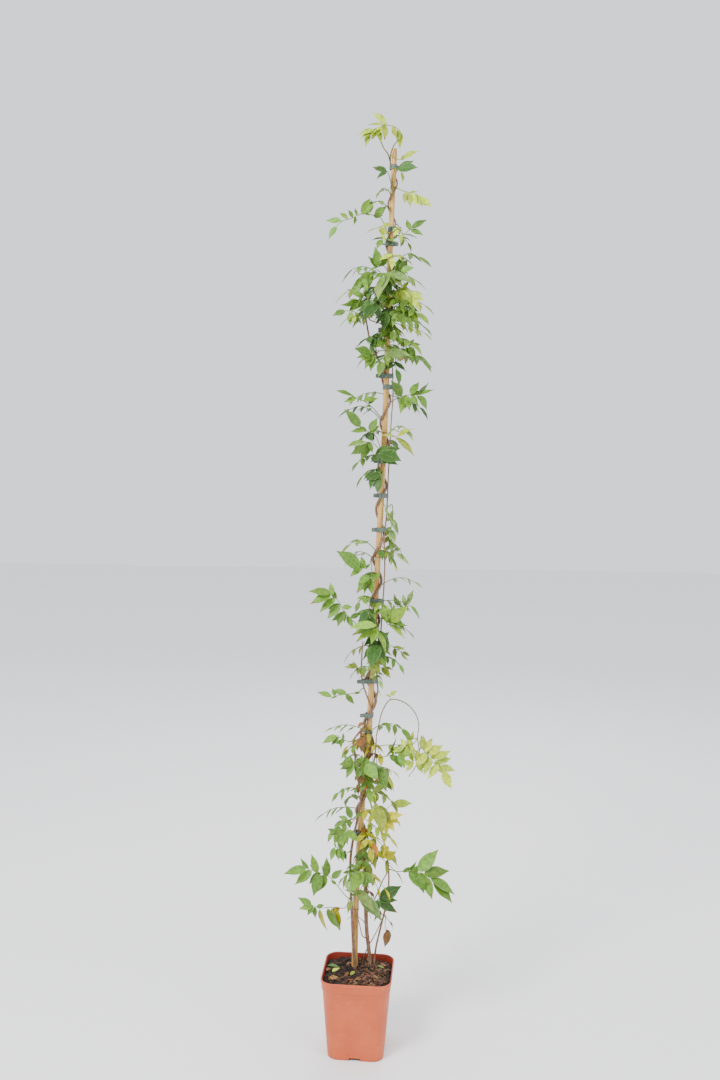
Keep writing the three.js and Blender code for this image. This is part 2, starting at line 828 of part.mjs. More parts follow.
    name: "arching_shoot", shoots: ["arch"], tint: "lime",
    leaves: [
      {
        way: [[145, -28, 772], [157, -34, 759], [171, -38, 750], [186, -40, 736], [196, -40, 717]],
        blades: [
          [0.12, 92, 31, 0.35], [0.22, 62, 34, 0.36], [0.3, 222, 36, 0.42], [0.36, 36, 39, 0.35],
          [0.46, 242, 41, 0.32], [0.56, 26, 41, 0.3], [0.68, 12, 34, 0.35], [0.76, 232, 39, 0.36],
          [0.84, -10, 34, 0.4], [1, -60, 48, 0.4],
        ],
      },
      {
        way: [[126, -10, 786], [112, -6, 780]],
        blades: [
          [0.3, 72, 19, 0.5], [0.45, -82, 22, 0.5], [0.75, 106, 22, 0.5], [0.8, -78, 24, 0.45],
          [1, 224, 22, 0.5],
        ],
      },
      {
        way: [[122, -6, 755], [105, -2, 749]],
        blades: [
          [0.3, -62, 24, 0.4], [0.45, 112, 22, 0.5], [0.75, 222, 29, 0.45], [1, 158, 31, 0.45],
        ],
      },
      {
        way: [[68, -18, 896]],
        blades: [
          [1, 38, 19, 0.5], [0.6, 150, 12, 0.3],
        ],
      },
    ],
  },
];

// Finishes
const FINISHES = {
  terracotta: { color: 0xd08a6c, roughness: 0.55 },
  soil: { color: 0x3a2a20, roughness: 1 },
  bamboo: { color: 0xcfa66a, roughness: 0.5 },
  bark: { color: 0x7a5138, roughness: 0.85 },
  tape: { color: 0x66756a, roughness: 0.5 },
  green: { color: 0x6f9a4c, roughness: 0.6 },
  dark: { color: 0x44703a, roughness: 0.6 },
  lime: { color: 0xb4c850, roughness: 0.6 },
  pale: { color: 0xa9bd84, roughness: 0.6 },
  olive: { color: 0x94a35a, roughness: 0.6 },
  yellow: { color: 0xd0c040, roughness: 0.65 },
  brown: { color: 0xa0763c, roughness: 0.75 },
};

const group = new THREE.Group();

function addPiece(name, geometry, finish) {
  const material = new THREE.MeshStandardMaterial({ ...FINISHES[finish], metalness: 0 });
  const mesh = new THREE.Mesh(geometry, material);
  mesh.name = name;
  group.add(mesh);
}

// Seeded numbers from 0 to 1, the same each time
function seeded(seed) {
  let state = seed;
  return () => {
    state = (state * 1664525 + 1013904223) % 4294967296;
    return state / 4294967296;
  };
}

function toSolid(geometry) {
  const bare = new THREE.BufferGeometry();
  bare.setAttribute("position", geometry.getAttribute("position"));
  bare.setIndex(geometry.getIndex());
  const merged = mergeVertices(bare, 1e-4);
  return new wasm.Manifold(new wasm.Mesh({
    numProp: 3,
    vertProperties: new Float32Array(merged.getAttribute("position").array),
    triVerts: new Uint32Array(merged.getIndex().array),
  }));
}

// The largest body of a solid, without the scraps that a join may leave
function toGeometry(solid) {
  const bodies = solid.decompose().sort((a, b) => b.volume() - a.volume());
  const mesh = bodies[0].getMesh();
  const geometry = new THREE.BufferGeometry();
  geometry.setAttribute("position", new THREE.Float32BufferAttribute(mesh.vertProperties, 3));
  geometry.setIndex(Array.from(mesh.triVerts));
  return geometry;
}

function fromFaces(points, faces) {
  const geometry = new THREE.BufferGeometry();
  const numbers = points.flatMap((p) => [p.x, p.y, p.z]);
  geometry.setAttribute("position", new THREE.Float32BufferAttribute(numbers, 3));
  geometry.setIndex(faces.flat());
  return geometry;
}

const UP = new THREE.Vector3(0, 0, 1);
const FRONT = new THREE.Vector3(0, -1, 0);
const vector = (p) => new THREE.Vector3(...p);
const curveThrough = (points) => new THREE.CatmullRomCurve3(points, false, "centripetal");

// A closed skin over rings of equal count, capped by a fan at each end
function skin(rings) {
  const count = rings[0].length;
  const points = rings.flat();
  const faces = [];
  for (let i = 0; i + 1 < rings.length; i += 1) {
    for (let j = 0; j < count; j += 1) {
      const a = i * count + j;
      const b = i * count + (j + 1) % count;
      faces.push([a, b, b + count], [a, b + count, a + count]);
    }
  }
  const last = (rings.length - 1) * count;
  for (let j = 1; j + 1 < count; j += 1) {
    faces.push([0, j + 1, j], [last, last + j, last + j + 1]);
  }
  return fromFaces(points, faces);
}

// A round stem through places, its radius given at each place
function stem(places, radii, sides) {
  let across = new THREE.Vector3(1, 0, 0);
  const rings = places.map((place, i) => {
    const before = places[Math.max(i - 1, 0)];
    const after = places[Math.min(i + 1, places.length - 1)];
    const along = after.clone().sub(before).normalize();
    across = across.clone().addScaledVector(along, -across.dot(along)).normalize();
    const side = along.clone().cross(across);
    return Array.from({ length: sides }, (_, j) => {
      const turn = (2 * Math.PI * j) / sides;
      return place.clone()
        .addScaledVector(across, radii[i] * Math.cos(turn))
        .addScaledVector(side, radii[i] * Math.sin(turn));
    });
  });
  return skin(rings);
}

// Cane
const caneCurve = curveThrough(CANE_WAY.map(vector));
const canePlaces = caneCurve.getPoints(400);

function caneAt(z) {
  let i = 0;
  while (i < canePlaces.length - 2 && canePlaces[i + 1].z < z) {
    i += 1;
  }
  const share = (z - canePlaces[i].z) / (canePlaces[i + 1].z - canePlaces[i].z);
  return canePlaces[i].clone().lerp(canePlaces[i + 1], share);
}

function caneRadius(z) {
  const share = THREE.MathUtils.clamp((z - CANE_FOOT) / (CANE_TOP - CANE_FOOT), 0, 1);
  return THREE.MathUtils.lerp(CANE_RADIUS, CANE_TOP_RADIUS, share ** 1.5);
}

function makeCane() {
  const stations = [{ z: CANE_FOOT, swell: 0 }, { z: CANE_TOP, swell: 0 }];
  for (const z of CANE_JOINTS) {
    stations.push({ z: z - CANE_BETWEEN_JOINTS, swell: 0 }, { z: z - CANE_JOINT_HALF, swell: 0 });
    stations.push({ z, swell: CANE_JOINT_SWELL }, { z: z + CANE_JOINT_HALF, swell: 0 });
  }
  stations.sort((a, b) => a.z - b.z);
  const radii = stations.map((s) => caneRadius(s.z) + s.swell);
  addPiece("bamboo_cane", stem(stations.map((s) => caneAt(s.z)), radii, CANE_SIDES), "bamboo");
}

// Rounded square seen from above, turned with the pot
function roundedSquare({ z, half, corner }) {
  const points = [];
  const reach = half - corner;
  for (let quarter = 0; quarter < 4; quarter += 1) {
    for (let step = 0; step <= POT_CORNER_STEPS; step += 1) {
      const turn = (quarter + step / POT_CORNER_STEPS) * (Math.PI / 2);
      const middle = (quarter + 0.5) * (Math.PI / 2);
      const x = reach * Math.sign(Math.cos(middle)) + corner * Math.cos(turn);
      const y = reach * Math.sign(Math.sin(middle)) + corner * Math.sin(turn);
      points.push(new THREE.Vector3(x, y, z).applyAxisAngle(UP, POT_TURN));
    }
  }
  return points;
}

function makePot() {
  let pot = toSolid(skin([...POT_OUTSIDE, ...POT_INSIDE].map((level) => roundedSquare(level))));
  for (let side = 0; side < 4; side += 1) {
    const notch = new THREE.BoxGeometry(NOTCH.depth, NOTCH.width, NOTCH.height * 2);
    notch.translate(NOTCH.reach, 0, 0);
    notch.rotateZ(POT_TURN + side * (Math.PI / 2));
    pot = pot.subtract(toSolid(notch));
  }
  addPiece("pot", toGeometry(pot), "terracotta");
}

// Soil, cut by a plain hole round each stem that stands in it
function insideAt(z) {
  const [upper, lower] = POT_INSIDE.slice(-2);
  const share = (z - lower.z) / (upper.z - lower.z);
  return {
    z,
    half: THREE.MathUtils.lerp(lower.half, upper.half, share),
    corner: THREE.MathUtils.lerp(lower.corner, upper.corner, share),
  };
}

function soilHeight(x, y) {
  const [slow, quick] = SOIL_WAVES;
  return SOIL_TOP + slow.height * Math.sin(x * slow.acrossX + 1) * Math.cos(y * slow.acrossY)
    + quick.height * Math.sin(x * quick.acrossX - y * quick.acrossY);
}

function makeSoil() {
  const rings = [SOIL_BOTTOM, SOIL_TOP - SOIL_EDGE_DEPTH].map((z) => {
    const { half, corner } = insideAt(z);
    return roundedSquare({ z, half: half - 2 * GAP, corner: corner - GAP });
  });
  for (const share of SOIL_RINGS) {
    rings.push(rings[1].map(({ x, y }) => {
      const drop = share === 1 ? SOIL_EDGE_DROP : 0;
      return new THREE.Vector3(x * share, y * share, soilHeight(x * share, y * share) - drop);
    }));
  }
  let soil = toSolid(skin(rings));
  const random = seeded(41);
  const either = () => random() - 0.5;
  for (let i = 0; i < CHIP.count; i += 1) {
    const chip = new THREE.BoxGeometry(
      CHIP.length + CHIP.spread * random(), CHIP.width + CHIP.spread * random() / 2, CHIP.thickness);
    chip.rotateX(CHIP.tilt * either());
    chip.rotateY(CHIP.tilt * either());
    chip.rotateZ(Math.PI * random());
    const x = CHIP.field * either();
    const y = CHIP.field * either();
    chip.translate(x, y, soilHeight(x, y) + CHIP.rise);
    soil = soil.add(toSolid(chip));
  }
  const [caneX, caneY] = CANE_WAY[0];
  const [mainX, mainY] = MAIN_FOOT[0];
  const holes = [
    { x: caneX, y: caneY, bottom: CANE_FOOT, radius: CANE_RADIUS + CANE_HOLE_SPARE },
    { x: mainX, y: mainY, bottom: STEM_FOOT_DEPTH, radius: MAIN_FOOT_RADIUS },
  ];
  for (const { way, radii, foot } of STEMS) {
    if (foot) {
      holes.push({ x: way[0][0], y: way[0][1], bottom: STEM_FOOT_DEPTH, radius: radii[0] });
    }
  }
  for (const { x, y, bottom, radius } of holes) {
    const depth = POT_HEIGHT - bottom + GAP;
    const reach = (radius + GAP) / Math.cos(Math.PI / HOLE_SIDES);
    const hole = new THREE.CylinderGeometry(reach, reach, depth, HOLE_SIDES);
    hole.rotateX(Math.PI / 2);
    hole.translate(x, y, bottom - GAP + depth / 2);
    soil = soil.subtract(toSolid(hole));
  }
  addPiece("soil", toGeometry(soil), "soil");
}

// Winding stem
function windingTurn(z) {
  let k = 0;
  while (k < FRONT_TURNS.length - 2 && FRONT_TURNS[k + 1] < z) {
    k += 1;
  }
  const share = (z - FRONT_TURNS[k]) / (FRONT_TURNS[k + 1] - FRONT_TURNS[k]);
  return 2 * Math.PI * (k + share) - Math.PI / 2;
}

function windingRadius(z) {
  const share = (z - WINDING_START) / (WINDING_END - WINDING_START);
  return THREE.MathUtils.lerp(WINDING_RADII.foot, WINDING_RADII.top, share);
}

function windingAt(z) {
  const reach = caneRadius(z) + CANE_JOINT_SWELL + windingRadius(z) + GAP + WINDING_SAG;
  const turn = windingTurn(z);
  return caneAt(z).add(new THREE.Vector3(reach * Math.cos(turn), reach * Math.sin(turn), 0));
}

function mainPlaces() {
  const places = MAIN_FOOT.map(vector);
  const radii = places.map(() => MAIN_FOOT_RADIUS);
  for (let k = 0; k + 1 < FRONT_TURNS.length; k += 1) {
    for (let step = 0; step < WINDING_STEPS; step += 1) {
      const z = THREE.MathUtils.lerp(FRONT_TURNS[k], FRONT_TURNS[k + 1], step / WINDING_STEPS);
      if (z >= WINDING_START && z <= WINDING_END) {
        places.push(windingAt(z));
        radii.push(windingRadius(z));
      }
    }
  }
  return { places, radii };
}

// Keeps a stem's places clear of the cane
function clearOfCane(place, radius) {
  const middle = caneAt(place.z);
  const outward = new THREE.Vector3(place.x - middle.x, place.y - middle.y, 0);
  const least = caneRadius(place.z) + CANE_JOINT_SWELL + radius + CANE_CLEARANCE;
  return outward.length() < least && place.z < CANE_TOP ? middle.add(outward.setLength(least)) : place;
}

function stemPlaces({ way, radii, fromMain, growsFrom, foot }) {
  const points = way.map(vector);
  if (fromMain) {
    points.unshift(windingAt(fromMain));
  }
  if (growsFrom) {
    const [before, end] = routes[growsFrom].places.slice(-2);
    const along = end.clone().sub(before).normalize();
    points.unshift(...SHOOT_START.map((reach) => end.clone().addScaledVector(along, reach)));
  }
  const curve = curveThrough(points);
  const length = curve.getLength();
  const count = Math.max(4, Math.round(length / STEM_STEP));
  const places = curve.getSpacedPoints(count);
  if (foot) {
    places.splice(0, places.findIndex((p) => p.z > POT_HEIGHT), points[0], points[1]);
  }
  const sizes = places.map((_, i) => THREE.MathUtils.lerp(radii[0], radii[1], i / (places.length - 1)));
  return { places: places.map((p, i) => clearOfCane(p, sizes[i])), radii: sizes };
}

const routes = { vine: mainPlaces() };
for (const part of STEMS) {
  routes[part.name] = stemPlaces(part);
}
for (const [name, part] of Object.entries(SHOOTS)) {
  routes[name] = stemPlaces(part);
}

function makeStems() {
  let solid = toSolid(stem(routes.vine.places, routes.vine.radii, STEM_SIDES));
  for (const { name } of STEMS) {
    solid = solid.add(toSolid(stem(routes[name].places, routes[name].radii, STEM_SIDES)));
  }
  addPiece("vine_stems", toGeometry(solid), "bark");
}

// Ties: the band follows the outline of everything that it holds
function convexOutline(points) {
  const sorted = [...points].sort((a, b) => a.x - b.x || a.y - b.y);
  const half = (list) => {
    const chain = [];
    for (const p of list) {
      while (chain.length > 1) {
        const [a, b] = chain.slice(-2);
        if ((b.x - a.x) * (p.y - a.y) - (b.y - a.y) * (p.x - a.x) > 0) {
          break;
        }
        chain.pop();
      }
      chain.push(p);
    }
    return chain.slice(0, -1);
  };
  return [...half(sorted), ...half([...sorted].reverse())];
}

function heldCircles(z) {
  const middle = caneAt(z);
  const circles = [{ x: middle.x, y: middle.y, radius: caneRadius(z) + CANE_JOINT_SWELL }];
  const fromSoil = STEMS.map((part) => routes[part.name]);
  const heldRoutes = [routes.vine, routes.shoot, routes.brown_shoot, ...fromSoil];
  for (const { places, radii } of heldRoutes) {
    for (let i = 0; i + 1 < places.length; i += 1) {
      const [low, high] = [places[i], places[i + 1]];
      const share = (z - low.z) / (high.z - low.z);
      if (share >= 0 && share <= 1) {
        const p = low.clone().lerp(high, share);
        const lean = high.clone().sub(low);
        const steepness = Math.abs(lean.z) / lean.length();
        if (Math.hypot(p.x - middle.x, p.y - middle.y) < TIE_REACH) {
          circles.push({ x: p.x, y: p.y, radius: radii[i] / Math.max(steepness, LEAST_STEEPNESS) });
        }
      }
    }
  }
  return circles;
}

function bandOutline(circles, spare) {
  const points = [];
  for (const { x, y, radius } of circles) {
    for (let j = 0; j < BAND_SIDES; j += 1) {
      const turn = (2 * Math.PI * (j + 0.5)) / BAND_SIDES;
      const reach = (radius + spare) / Math.cos(Math.PI / BAND_SIDES);
      points.push({ x: x + reach * Math.cos(turn), y: y + reach * Math.sin(turn) });
    }
  }
  const outline = convexOutline(points);
  return outline.filter((p, i) => {
    const next = outline[(i + 1) % outline.length];
    return Math.hypot(next.x - p.x, next.y - p.y) > LEAST_EDGE;
  });
}

function makeTie({ z, flap, tail = FLAP.length }, index) {
  const circles = TIE_LEVELS.flatMap((share) => heldCircles(z + share * TIE_HEIGHT));
  const outer = bandOutline(circles, GAP + TIE_THICKNESS);
  const shape = new THREE.Shape(outer.map((p) => new THREE.Vector2(p.x, p.y)));
  shape.holes.push(new THREE.Path(bandOutline(circles, GAP).map((p) => new THREE.Vector2(p.x, p.y))));
  const band = new THREE.ExtrudeGeometry(shape, { depth: TIE_HEIGHT, bevelEnabled: false });
  band.translate(0, 0, z - TIE_HEIGHT / 2);
  const turn = THREE.MathUtils.degToRad(flap);
  const outward = new THREE.Vector2(Math.cos(turn), Math.sin(turn));
  const reach = (p) => p.x * outward.x + p.y * outward.y;
  const edge = outer.reduce((far, p) => (reach(p) > reach(far) ? p : far));
  const tab = new THREE.BoxGeometry(tail + FLAP.sunk, FLAP.thickness, FLAP.height);
  tab.translate((tail - FLAP.sunk) / 2, 0, 0);
  tab.rotateZ(turn);
  tab.translate(edge.x, edge.y, z);
  const solid = toSolid(band).add(toSolid(tab));
  addPiece(`tie_${String(index + 1).padStart(2, "0")}`, toGeometry(solid), "tape");
}

// Leaves

// The way that a blade points, and the way that its upper face looks: to the front, rolled
// along the stalk like a slat until it shows only the given share of its width
function bladePose([share, direction, , shown, givenLean], stalkAlong, random) {
  const angle = THREE.MathUtils.degToRad(direction);
  const flat = new THREE.Vector3(Math.cos(angle), 0, Math.sin(angle));
  const drawn = (flat.z >= 0 ? 1 : -1) * LEAN.back + LEAN.spread * (random() - 0.5);
  const stalkLean = THREE.MathUtils.radToDeg(Math.asin(stalkAlong.y));
  const followed = THREE.MathUtils.clamp(stalkLean, -LEAN.most, LEAN.most);
  const lean = THREE.MathUtils.degToRad(givenLean ?? (share === 1 ? followed : drawn));
  const along = flat.multiplyScalar(Math.cos(lean)).addScaledVector(FRONT, -Math.sin(lean));
  const face = FRONT.clone().addScaledVector(along, -FRONT.dot(along)).normalize();
  const edgeOn = Math.acos(Math.min(1, shown / TRUE_BLADE_WIDTH));
  const roll = Math.max(THREE.MathUtils.degToRad(LEAST_ROLL), edgeOn);
  const upwards = share === 1 ? UP : stalkAlong.clone().multiplyScalar(stalkAlong.z < 0 ? -1 : 1);
  const [one, other] = [roll, -roll].map((turn) => face.clone().applyAxisAngle(along, turn));
  return { along, face: one.dot(upwards) > other.dot(upwards) ? one : other, stretch: 1 / Math.cos(lean) };
}

// A thin arched blade folded up along its rib, pointed at both ends, with its root inside the stalk
function bladeGeometry(root, { along, face, stretch }, size, shown, random) {
  const across = face.clone().cross(along);
  const long = size * stretch;
  const wide = long * Math.max(TRUE_BLADE_WIDTH, shown);
  const droop = (BLADE_DROOP.least + BLADE_DROOP.spread * random()) * long;
  const points = [];
  const faces = [];
  const at = (u, v, lift) => points.push(root.clone().addScaledVector(along, u * long)
    .addScaledVector(across, v * wide).addScaledVector(face, lift - droop * u * u)) - 1;
  const section = ([u, v]) => {
    const fold = BLADE_FOLD * wide * v;
    return [at(u, -v, fold), at(u, 0, BLADE_THICKNESS / 2), at(u, v, fold), at(u, 0, -BLADE_THICKNESS / 2)];
  };
  const sections = (size < SMALL_BLADE ? SMALL_OUTLINE : LARGE_OUTLINE).map(section);
  const base = at(-BLADE_ROOT / long, 0, 0);
  const tip = at(1, 0, 0);
  for (let j = 0; j < 4; j += 1) {
    const k = (j + 1) % 4;
    faces.push([base, sections[0][j], sections[0][k]]);
    for (let i = 0; i + 1 < sections.length; i += 1) {
      const [a, b] = [sections[i], sections[i + 1]];
      faces.push([a[j], b[k], a[k]], [a[j], b[j], b[k]]);
    }
    const end = sections[sections.length - 1];
    faces.push([end[j], tip, end[k]]);
  }
  return fromFaces(points, faces);
}

// A leaf's stalk runs from its bud through the places of its way. The places of its blades are
// counted from the first of these, or from the bud where there is only one.
function leafSolid({ foot, end }, way, blades, random) {
  const curve = curveThrough([end, ...way.map(vector)]);
  const lengths = curve.getLengths(CURVE_STEPS);
  const wayStart = way.length > 1 ? Math.round(CURVE_STEPS / way.length) : 0;
  const firstShare = lengths[wayStart] / lengths[CURVE_STEPS];
  const count = Math.max(2, Math.round(lengths[CURVE_STEPS] / STALK.step));
  const places = curve.getSpacedPoints(count);
  const stalk = foot ? [foot, ...places] : places;
  const last = stalk.length - 1;
  const radii = stalk.map((_, i) => THREE.MathUtils.lerp(STALK.radius, STALK.tipRadius, i / last));
  let leaf = toSolid(stem(stalk, radii, STALK.sides));
  for (const blade of blades) {
    const [wayShare, , size, shown] = blade;
    const share = THREE.MathUtils.lerp(firstShare, 1, wayShare);
    const i = Math.min(Math.floor(share * count), count - 1);
    const root = places[i].clone().lerp(places[i + 1], share * count - i);
    const pose = bladePose(blade, curve.getTangentAt(share), random);
    leaf = leaf.add(toSolid(bladeGeometry(root, pose, size, shown, random)));
  }
  return leaf;
}

// Where a leaf's stalk leaves its stem: on the side that the leaf hangs on, clear of ties and other buds
const budsPlaced = [];

function budBeside(stemName, near) {
  const { places, radii } = routes[stemName];
  let best = null;
  for (let i = 1; i < places.length - 1; i += 0.5) {
    const low = Math.floor(i);
    const place = places[low].clone().lerp(places[low + 1], i - low);
    const middle = caneAt(place.z);
    const outward = new THREE.Vector3(place.x - middle.x, place.y - middle.y, 0).normalize();
    const wanted = near.clone().sub(middle).setZ(0).normalize();
    const away = near.distanceTo(place) + BUD.wrongSide * (1 - outward.dot(wanted));
    const taken = budsPlaced.some((other) => other.distanceTo(place) < BUD.spacing);
    const tied = TIES.some(({ z }) => Math.abs(z - place.z) < TIE_HEIGHT / 2 + BUD.clearOfTie);
    if (!taken && !tied && (best === null || away < best.away)) {
      const forward = near.clone().sub(place).normalize().multiplyScalar(BUD.turn).add(outward).normalize();
      best = { away, foot: place, end: place.clone().addScaledVector(forward, radii[low] + BUD.length) };
    }
  }
  budsPlaced.push(best.foot);
  return best;
}

// The stem with a little more girth, which cuts the foot of a stalk to fit round it
function stemWithGap(stemName) {
  const { places, radii } = routes[stemName];
  return toSolid(stem(places, radii.map((radius) => radius + GAP), STEM_SIDES));
}

function nearestOnShoots(shoots, near) {
  const places = shoots.flatMap((name) => routes[name].places.slice(1));
  return places.reduce((best, place) => (place.distanceTo(near) < best.distanceTo(near) ? place : best));
}

// Leaves that grow from one bud, or a shoot with the leaves along it, are one body
function makeLeaves({ name, stem: stemName, shoots = [], tint, leaves }, index) {
  const random = seeded(1000 + index);
  const near = new THREE.Vector3();
  for (const { way } of leaves) {
    near.addScaledVector(vector(way[0]), 1 / leaves.length);
  }
  const sharedBud = stemName && budBeside(stemName, near);
  const bodies = shoots.map((shoot) => {
    const { places, radii } = routes[shoot];
    return toSolid(stem(places, radii, STEM_SIDES));
  });
  for (const { way, blades } of leaves) {
    const bud = sharedBud ?? { end: nearestOnShoots(shoots, vector(way[0])) };
    bodies.push(leafSolid(bud, way, blades, random));
  }
  const whole = bodies.reduce((sum, body) => sum.add(body));
  addPiece(name, toGeometry(stemName ? whole.subtract(stemWithGap(stemName)) : whole), tint);
}

makePot();
makeSoil();
makeCane();
makeStems();
TIES.forEach(makeTie);
LEAVES.forEach(makeLeaves);

export default group;
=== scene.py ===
"""A climbing wisteria in a square nursery pot, tied to a bamboo cane."""
import math

import bpy
from mathutils import Matrix, Vector, noise


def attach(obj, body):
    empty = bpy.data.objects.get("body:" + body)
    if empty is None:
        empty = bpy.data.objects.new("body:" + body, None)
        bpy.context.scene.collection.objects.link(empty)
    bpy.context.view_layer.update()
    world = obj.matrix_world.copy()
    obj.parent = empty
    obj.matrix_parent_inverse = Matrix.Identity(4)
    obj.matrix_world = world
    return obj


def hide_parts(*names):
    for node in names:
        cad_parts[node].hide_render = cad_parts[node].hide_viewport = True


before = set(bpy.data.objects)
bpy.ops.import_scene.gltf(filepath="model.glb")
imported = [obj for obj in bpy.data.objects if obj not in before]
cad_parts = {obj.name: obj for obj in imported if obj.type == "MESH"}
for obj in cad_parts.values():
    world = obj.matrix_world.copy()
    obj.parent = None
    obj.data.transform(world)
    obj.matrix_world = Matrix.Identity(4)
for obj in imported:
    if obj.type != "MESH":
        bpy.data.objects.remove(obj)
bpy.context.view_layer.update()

# Places and sizes below are in millimetres; meshes are made in metres
MM = 0.001
BODY = "root"
SHARP_ANGLE = math.radians(50)
UP = Vector((0, 0, 1))
FRONT = Vector((0, -1, 0))
SQUARE = ((-1, -1), (1, -1), (1, 1), (-1, 1))

# Random numbers: how each follows from the last, and where each run of them starts
RANDOM_FACTOR = 1664525
RANDOM_STEP = 1013904223
RANDOM_RANGE = 2 ** 32
SEEDS = {"chips": 71, "blades": 1000, "blade_details": 5000, "fallen": 900, "fallen_details": 901}

# Camera, set up from the photograph: 35 mm lens on the picture's long side
CAMERA_PLACE = (-0.010, -2.532, 1.457)
CAMERA_PITCH = 85.8
CAMERA_ROLL = 0.8
CAMERA_LENS = 35
CAMERA_SENSOR = 36

# Colours in linear light
COLOURS = {
    "lime": (0.37, 0.48, 0.028),
    "fresh": (0.21, 0.36, 0.028),
    "green": (0.105, 0.222, 0.02),
    "dark": (0.036, 0.104, 0.013),
    "pale": (0.18, 0.285, 0.068),
    "olive": (0.17, 0.22, 0.018),
    "yellow": (0.44, 0.42, 0.004),
    "orange": (0.40, 0.14, 0.008),
    "brown": (0.18, 0.065, 0.016),
}

# Pot
POT_TURN = math.radians(-5)
POT_HEIGHT = 200
POT_CORNER_STEPS = 14
POT_SIDE_STEPS = 6
POT_FLOOR = 2.5
POT_OUTSIDE = [
    (0, 67.5, 26), (1.2, 69, 27), (7.2, 69.6, 27), (12, 70, 27.2), (30, 71.4, 27.5), (60, 73.7, 28),
    (120, 78.3, 29), (173, 82.4, 30), (174.2, 82.9, 30), (175.6, 84.2, 31), (177, 84.6, 31),
    (190.6, 85.3, 31), (191.8, 85.8, 31.3), (193, 86.8, 32), (194, 87, 32), (198.6, 87, 32),
    (199.6, 86.6, 31.8), (200, 86, 31.4),
]
POT_INSIDE = [
    (200, 84.6, 30), (199.5, 83.8, 29.4), (198, 83.4, 29), (190, 83, 29), (176, 81, 28.5),
    (120, 76.5, 27.5), (POT_FLOOR, 67.2, 25.5),
]
NOTCH = {"width": 27, "height": 7, "depth": 30, "reach": 72}

# Soil
SOIL_BOTTOM = 2.85
SOIL_TOP = 181
SOIL_WALL = (81.4, 28.5)
SOIL_RINGS = 34
SOIL_WAVES = [(2.4, 0.11, 0.13), (1.2, 0.31, 0.27)]
SOIL_FOOT = (66.5, 25.1)
SOIL_CORNER_STEPS = 8
SOIL_EDGE_DEPTH = 9
SOIL_EDGE_DROP = 3
SOIL_EDGE_START = 0.93
SOIL_SIDE_STEPS = 26
SOIL_FILL = 6
SOIL_LUMPS = {"height": 2.2, "scale": 0.09, "level": 2, "roughness": 1, "spacing": 2, "layers": 4}
SOIL_HEAP = {"height": 5, "x": 34, "y": 14, "spread": 30}
SOIL_TONE = (0.016, 0.010, 0.006)
SOIL_MOTTLE = (0.75, 0.9, 0.2)

# Bark chips and crumbs of peat: least and further length, then the other sides as shares of it
CHIPS = 760
CRUMBS = 1500
CHIP_INSET = 6
CHIP_LENGTH = (5, 15)
CRUMB_LENGTH = (1.6, 2.6)
CHIP_WIDTH = (0.16, 0.4)
CHIP_THICKNESS = 0.16
CRUMB_THICKNESS = 0.7
CHIP_TILT = 0.7
CRUMB_TILT = 3
CHIP_LIFT = (0.4, 1.2)
CHIP_CORNERS = 6
CHIP_CORNER_REACH = (0.75, 0.4)
CHIP_SHADES = (0.7, 0.6)
# Chips are darker towards the left back of the pot and lighter towards the right front
CHIP_TONE_ACROSS = (0.45, 1.5)
CHIP_TONE_ACROSS_HALF = 50
SQUARE_REACH = 1.62
CHIP_TONES = [
    (0.11, 0.045, 0.018), (0.045, 0.021, 0.011), (0.02, 0.012, 0.008), (0.07, 0.03, 0.014),
    (0.17, 0.085, 0.036),
]

# Fallen leaves on the soil: place across and back, direction, length, colour
FALLEN_LEAVES = [
    (-78, 34, -12, 30, "dark"), (-64, 2, 48, 26, "lime"), (-76, -36, 12, 36, "orange"),
    (-52, -46, 150, 28, "brown"), (-18, -22, 65, 22, "olive"), (-78, 8, 70, 22, "brown"),
    (52, -30, 150, 22, "brown"), (-30, 44, 20, 26, "brown"), (48, 30, -40, 22, "olive"),
    (10, -36, 200, 22, "brown"),
]
FALLEN_RISE = 0.12
FALLEN_LIFT = 4
FALLEN_WIDTH = 0.4

# Gap between pieces that touch
GAP = 0.35

# Cane: where its axis passes, its radius, and the heights of its joints
CANE_WAY = [
    (-9, 39, 95), (-7, 34, 361), (4, 27, 600), (19, 22, 800), (27, 15, 1050), (40, 6, 1370), (47, 2, 1600),
    (51, 0, 1917), (59, 0, 2195),
]
CANE_FOOT = 95
CANE_TOP = 2195
CANE_RADIUS = 7.7
CANE_TOP_RADIUS = 6
CANE_JOINTS = [340, 635, 930, 1230, 1530, 1825, 2105]
CANE_JOINT_SWELL = 0.7
CANE_JOINT_HALF = 5
CANE_CLEARANCE = 0.65
CANE_SIDES = 22
CANE_STEP = 9
CANE_PLACE_STEPS = 400
CANE_TAPER = 1.5
CANE_WOBBLE = (0.25, 0.01)
CANE_BEVEL = {"height": 1.2, "depth": 0.6}
CANE_GROOVE = {"depth": 0.3, "below": 6, "half": 3}
CANE_JOINT_STEPS = (-8, -6.5, -5, -3.5, -2, -1, 0, 1, 2, 3.5, 5)
CANE_RING_HALF = 1.6

# Main stem: rises from the soil, then winds round the cane, passing its front at these heights
FRONT_TURNS = [
    503, 625, 735, 847, 957, 1050, 1144, 1254, 1378, 1476, 1580, 1690, 1795, 1900, 2000, 2090, 2190,
]
WINDING_START = 515
WINDING_END = 2168
WINDING_STEPS = 8
WINDING_SAG = 0.5
MAIN_FOOT_RADIUS = 4.3
MAIN_FOOT = [
    (30, 34, 140), (30, 34, 200), (26, 30, 240), (21, 26, 282), (17, 20, 355), (15, 14, 434), (9, 15, 485),
]
STEM_STEP = 34
STEM_FINENESS = 6
STEM_FULLNESS = 1.16
STEM_SWELLINGS = [(0.09, 0.16), (0.05, 0.5)]
STEM_TIP = 0.6
STEM_SIDES = 12
WINDING_RADII = (3.7, 1.7)

